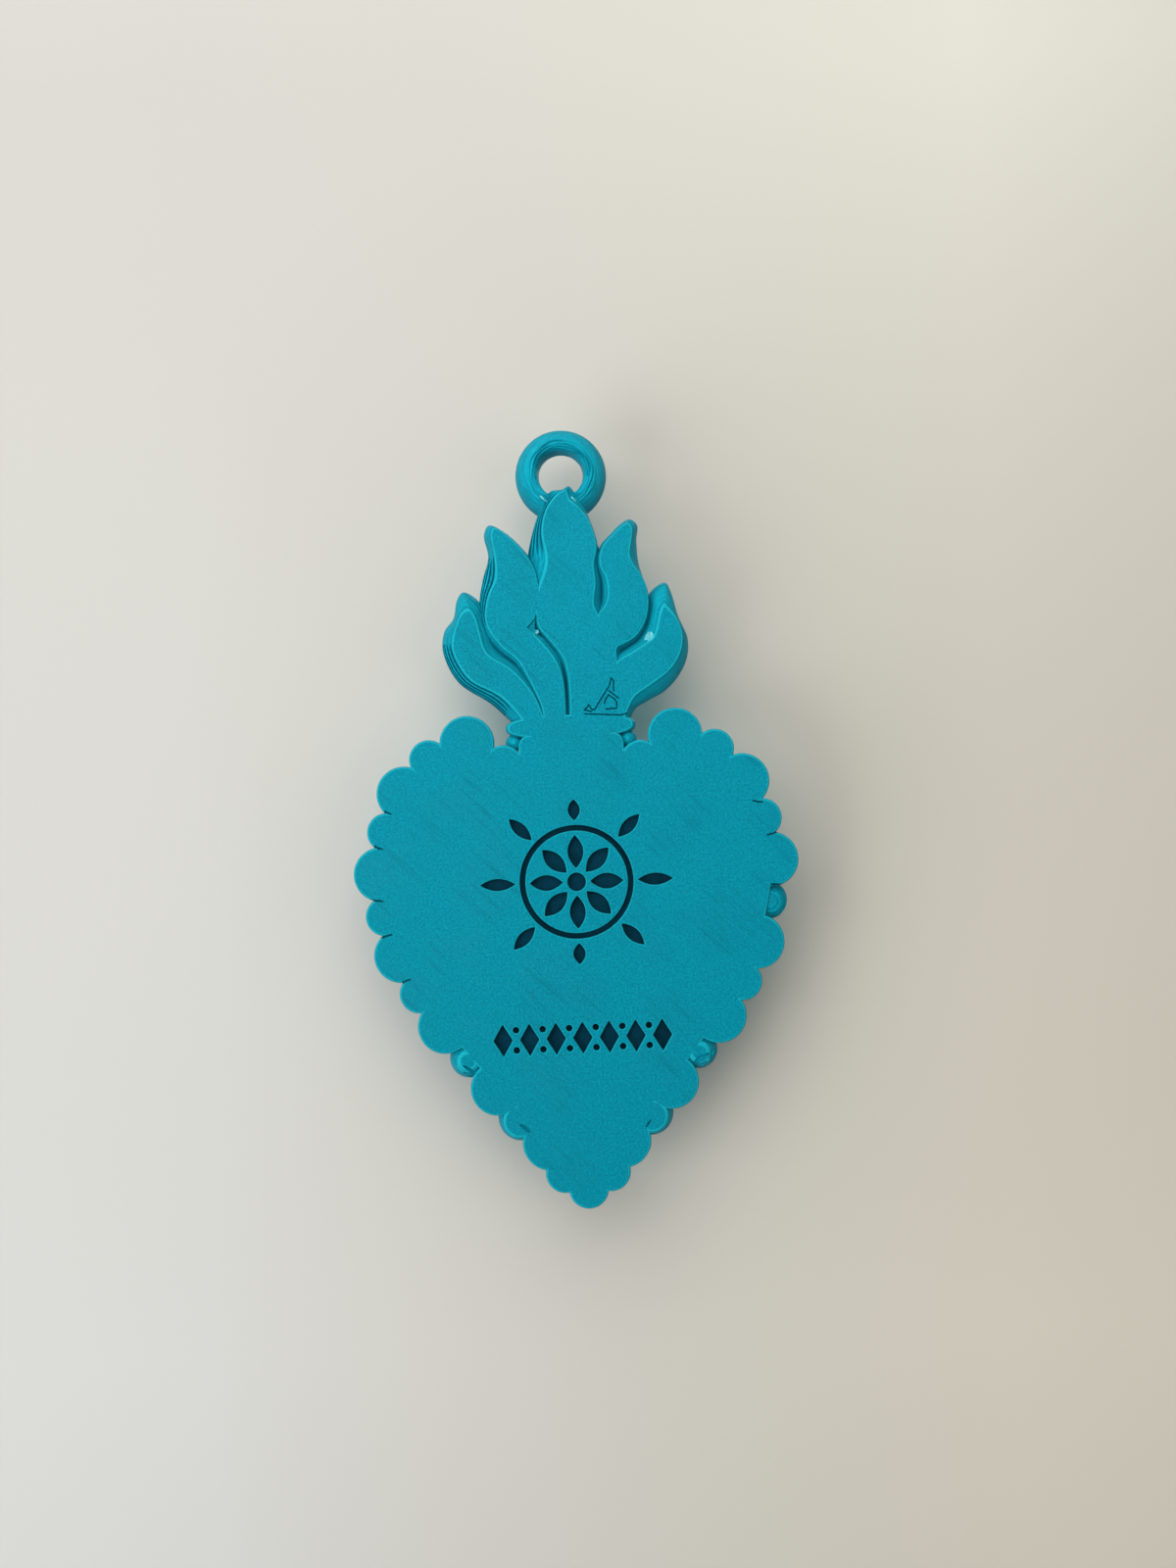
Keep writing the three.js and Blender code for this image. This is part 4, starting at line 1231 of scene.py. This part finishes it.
# The paint holds painted light, shade and shadow: its corner tones and the shades below
PAINT_ACROSS = (-0.09, 0.10)
PAINT_DOWN = (0.10, -0.20)
UPPER_LEFT = (0.565, 0.555, 0.52, 1.0)
LOWER_LEFT = (0.77, 0.765, 0.735, 1.0)
UPPER_RIGHT = (0.745, 0.725, 0.655, 1.0)
LOWER_RIGHT = (0.785, 0.74, 0.63, 1.0)
BLACK = (0.0, 0.0, 0.0, 1.0)
TOP_SHADE = 0.06
BOTTOM_SHADE = 0.05
RIGHT_SHADE = 0.5

corners = [(x * WALL_HALF, WALL_Y, z * WALL_HALF) for x, z in ((-1, -1), (1, -1), (1, 1), (-1, 1))]
wall_mesh = bpy.data.meshes.new("wall")
wall_mesh.from_pydata(corners, [], [(0, 1, 2, 3)])
wall = new_object("wall", wall_mesh)

mat, n = new_material("wall_paint")
path = n.add("LightPath")
seen = n.math("MAXIMUM", path.outputs["Is Camera Ray"], path.outputs["Is Glossy Ray"])
seen = n.math("MAXIMUM", seen, path.outputs["Is Transmission Ray"])
front = n.math("SUBTRACT", 1.0, n.add("NewGeometry").outputs["Backfacing"])
place = n.add("TexCoord").outputs["Object"]
centred = n.add("VectorMath", {0: place, 1: (0, -WALL_Y, -WALL_MIDDLE)}, operation="ADD").outputs[0]
away = n.add("VectorMath", {0: centred}, operation="LENGTH").outputs["Value"]
solid = n.times(n.times(seen, front), n.ramp(away, *WALL_FADE))
split = n.add("SeparateXYZ", {0: place})
across = n.ramp(split.outputs[0], *PAINT_ACROSS)
down = n.ramp(split.outputs[2], *PAINT_DOWN)
# The corner tones paint light and shade across the backdrop, against the lamps' own falloff
paint = n.mix(across, n.mix(down, UPPER_LEFT, LOWER_LEFT), n.mix(down, UPPER_RIGHT, LOWER_RIGHT))
# Painted shade in the middle of the top and of the bottom
side = n.math("MULTIPLY_ADD", across, 2.0, -1.0)
middle = n.math("SUBTRACT", 1.0, n.times(side, side))
paint = n.mix(n.times(middle, n.ramp(down, 0.0, 1.0, TOP_SHADE, BOTTOM_SHADE)), paint, BLACK)
# Painted shadow on the right, at the height of the ornament
halfway = n.times(down, n.math("SUBTRACT", 1.0, down))
paint = n.mix(n.times(n.times(halfway, across), RIGHT_SHADE), paint, BLACK)
diffuse = n.add("BsdfDiffuse", {"Color": paint})
clear = n.add("BsdfTransparent")
mixed = n.add("MixShader", {0: solid, 1: clear.outputs[0], 2: diffuse.outputs[0]})
n.add("OutputMaterial", {"Surface": mixed.outputs[0]})
wall_mesh.materials.append(mat)

# World: pale for the camera, and soft warm room light for the rest

PALE_TONE = (0.7304607, 0.7083758, 0.6583748, 1.0)
ROOM_TONE = (1.0, 0.975, 0.94, 1.0)
ROOM_STRENGTH = 0.22
# How the room's light changes along a direction: from, to, and its share at either
ROOM_UP = (-1.0, 1.0, 0.55, 1.15)
ROOM_BEHIND = (-0.1, 0.3, 1.0, 0.75)
ROOM_RIGHT = (-1.0, 1.0, 1.1, 0.85)

world = bpy.data.worlds.new("world")
bpy.context.scene.world = world
world.use_nodes = True
n = Nodes(world.node_tree)
path = n.add("LightPath")
seen = n.math("MAXIMUM", path.outputs["Is Camera Ray"], path.outputs["Is Transmission Ray"])
split = n.add("SeparateXYZ", {0: n.add("TexCoord").outputs["Generated"]})
strength = n.times(n.ramp(split.outputs[2], *ROOM_UP), n.ramp(split.outputs[1], *ROOM_BEHIND))
strength = n.times(n.times(strength, n.ramp(split.outputs[0], *ROOM_RIGHT)), ROOM_STRENGTH)
room = n.add("Background", {"Color": ROOM_TONE, "Strength": strength})
pale = n.add("Background", {"Color": PALE_TONE, "Strength": 1.0})
mixed = n.add("MixShader", {0: seen, 1: room.outputs[0], 2: pale.outputs[0]})
n.add("OutputWorld", {"Surface": mixed.outputs[0]})

# Lamps: place, target, size, watts and colour

CENTRE = Vector((0, 0, -0.075))
WINDOW_LOW = math.radians(29)
WINDOW_FRONT = math.radians(31)
WINDOW_AWAY = 0.8
window = Vector((-math.cos(WINDOW_LOW) * math.cos(WINDOW_FRONT), -math.sin(WINDOW_FRONT),
                 -math.sin(WINDOW_LOW) * math.cos(WINDOW_FRONT)))
LAMPS = {
    "window": (CENTRE + WINDOW_AWAY * window, CENTRE, 0.55, 3.6, (0.93, 0.97, 1.0)),
    "right_lamp": (Vector((0.42, -0.5, -0.12)), CENTRE, 0.5, 0.65, (1.0, 0.96, 0.9)),
    "upper_lamp": (Vector((-0.08, -0.26, 0.20)), Vector((0, 0, -0.05)), 0.5, 1.6, (1.0, 0.99, 0.97)),
    "relief_lamp": (Vector((0.1, 0.9, 0.3)), CENTRE, 0.5, 6.0, (1.0, 0.98, 0.95)),
}
for name, (place, target, size, watts, colour) in LAMPS.items():
    data = bpy.data.lights.new(name, "AREA")
    data.shape = "SQUARE"
    data.size = size
    data.energy = watts
    data.color = colour
    lamp = new_object(name, data)
    lamp.location = place
    lamp.rotation_euler = (target - place).to_track_quat("-Z", "Y").to_euler()
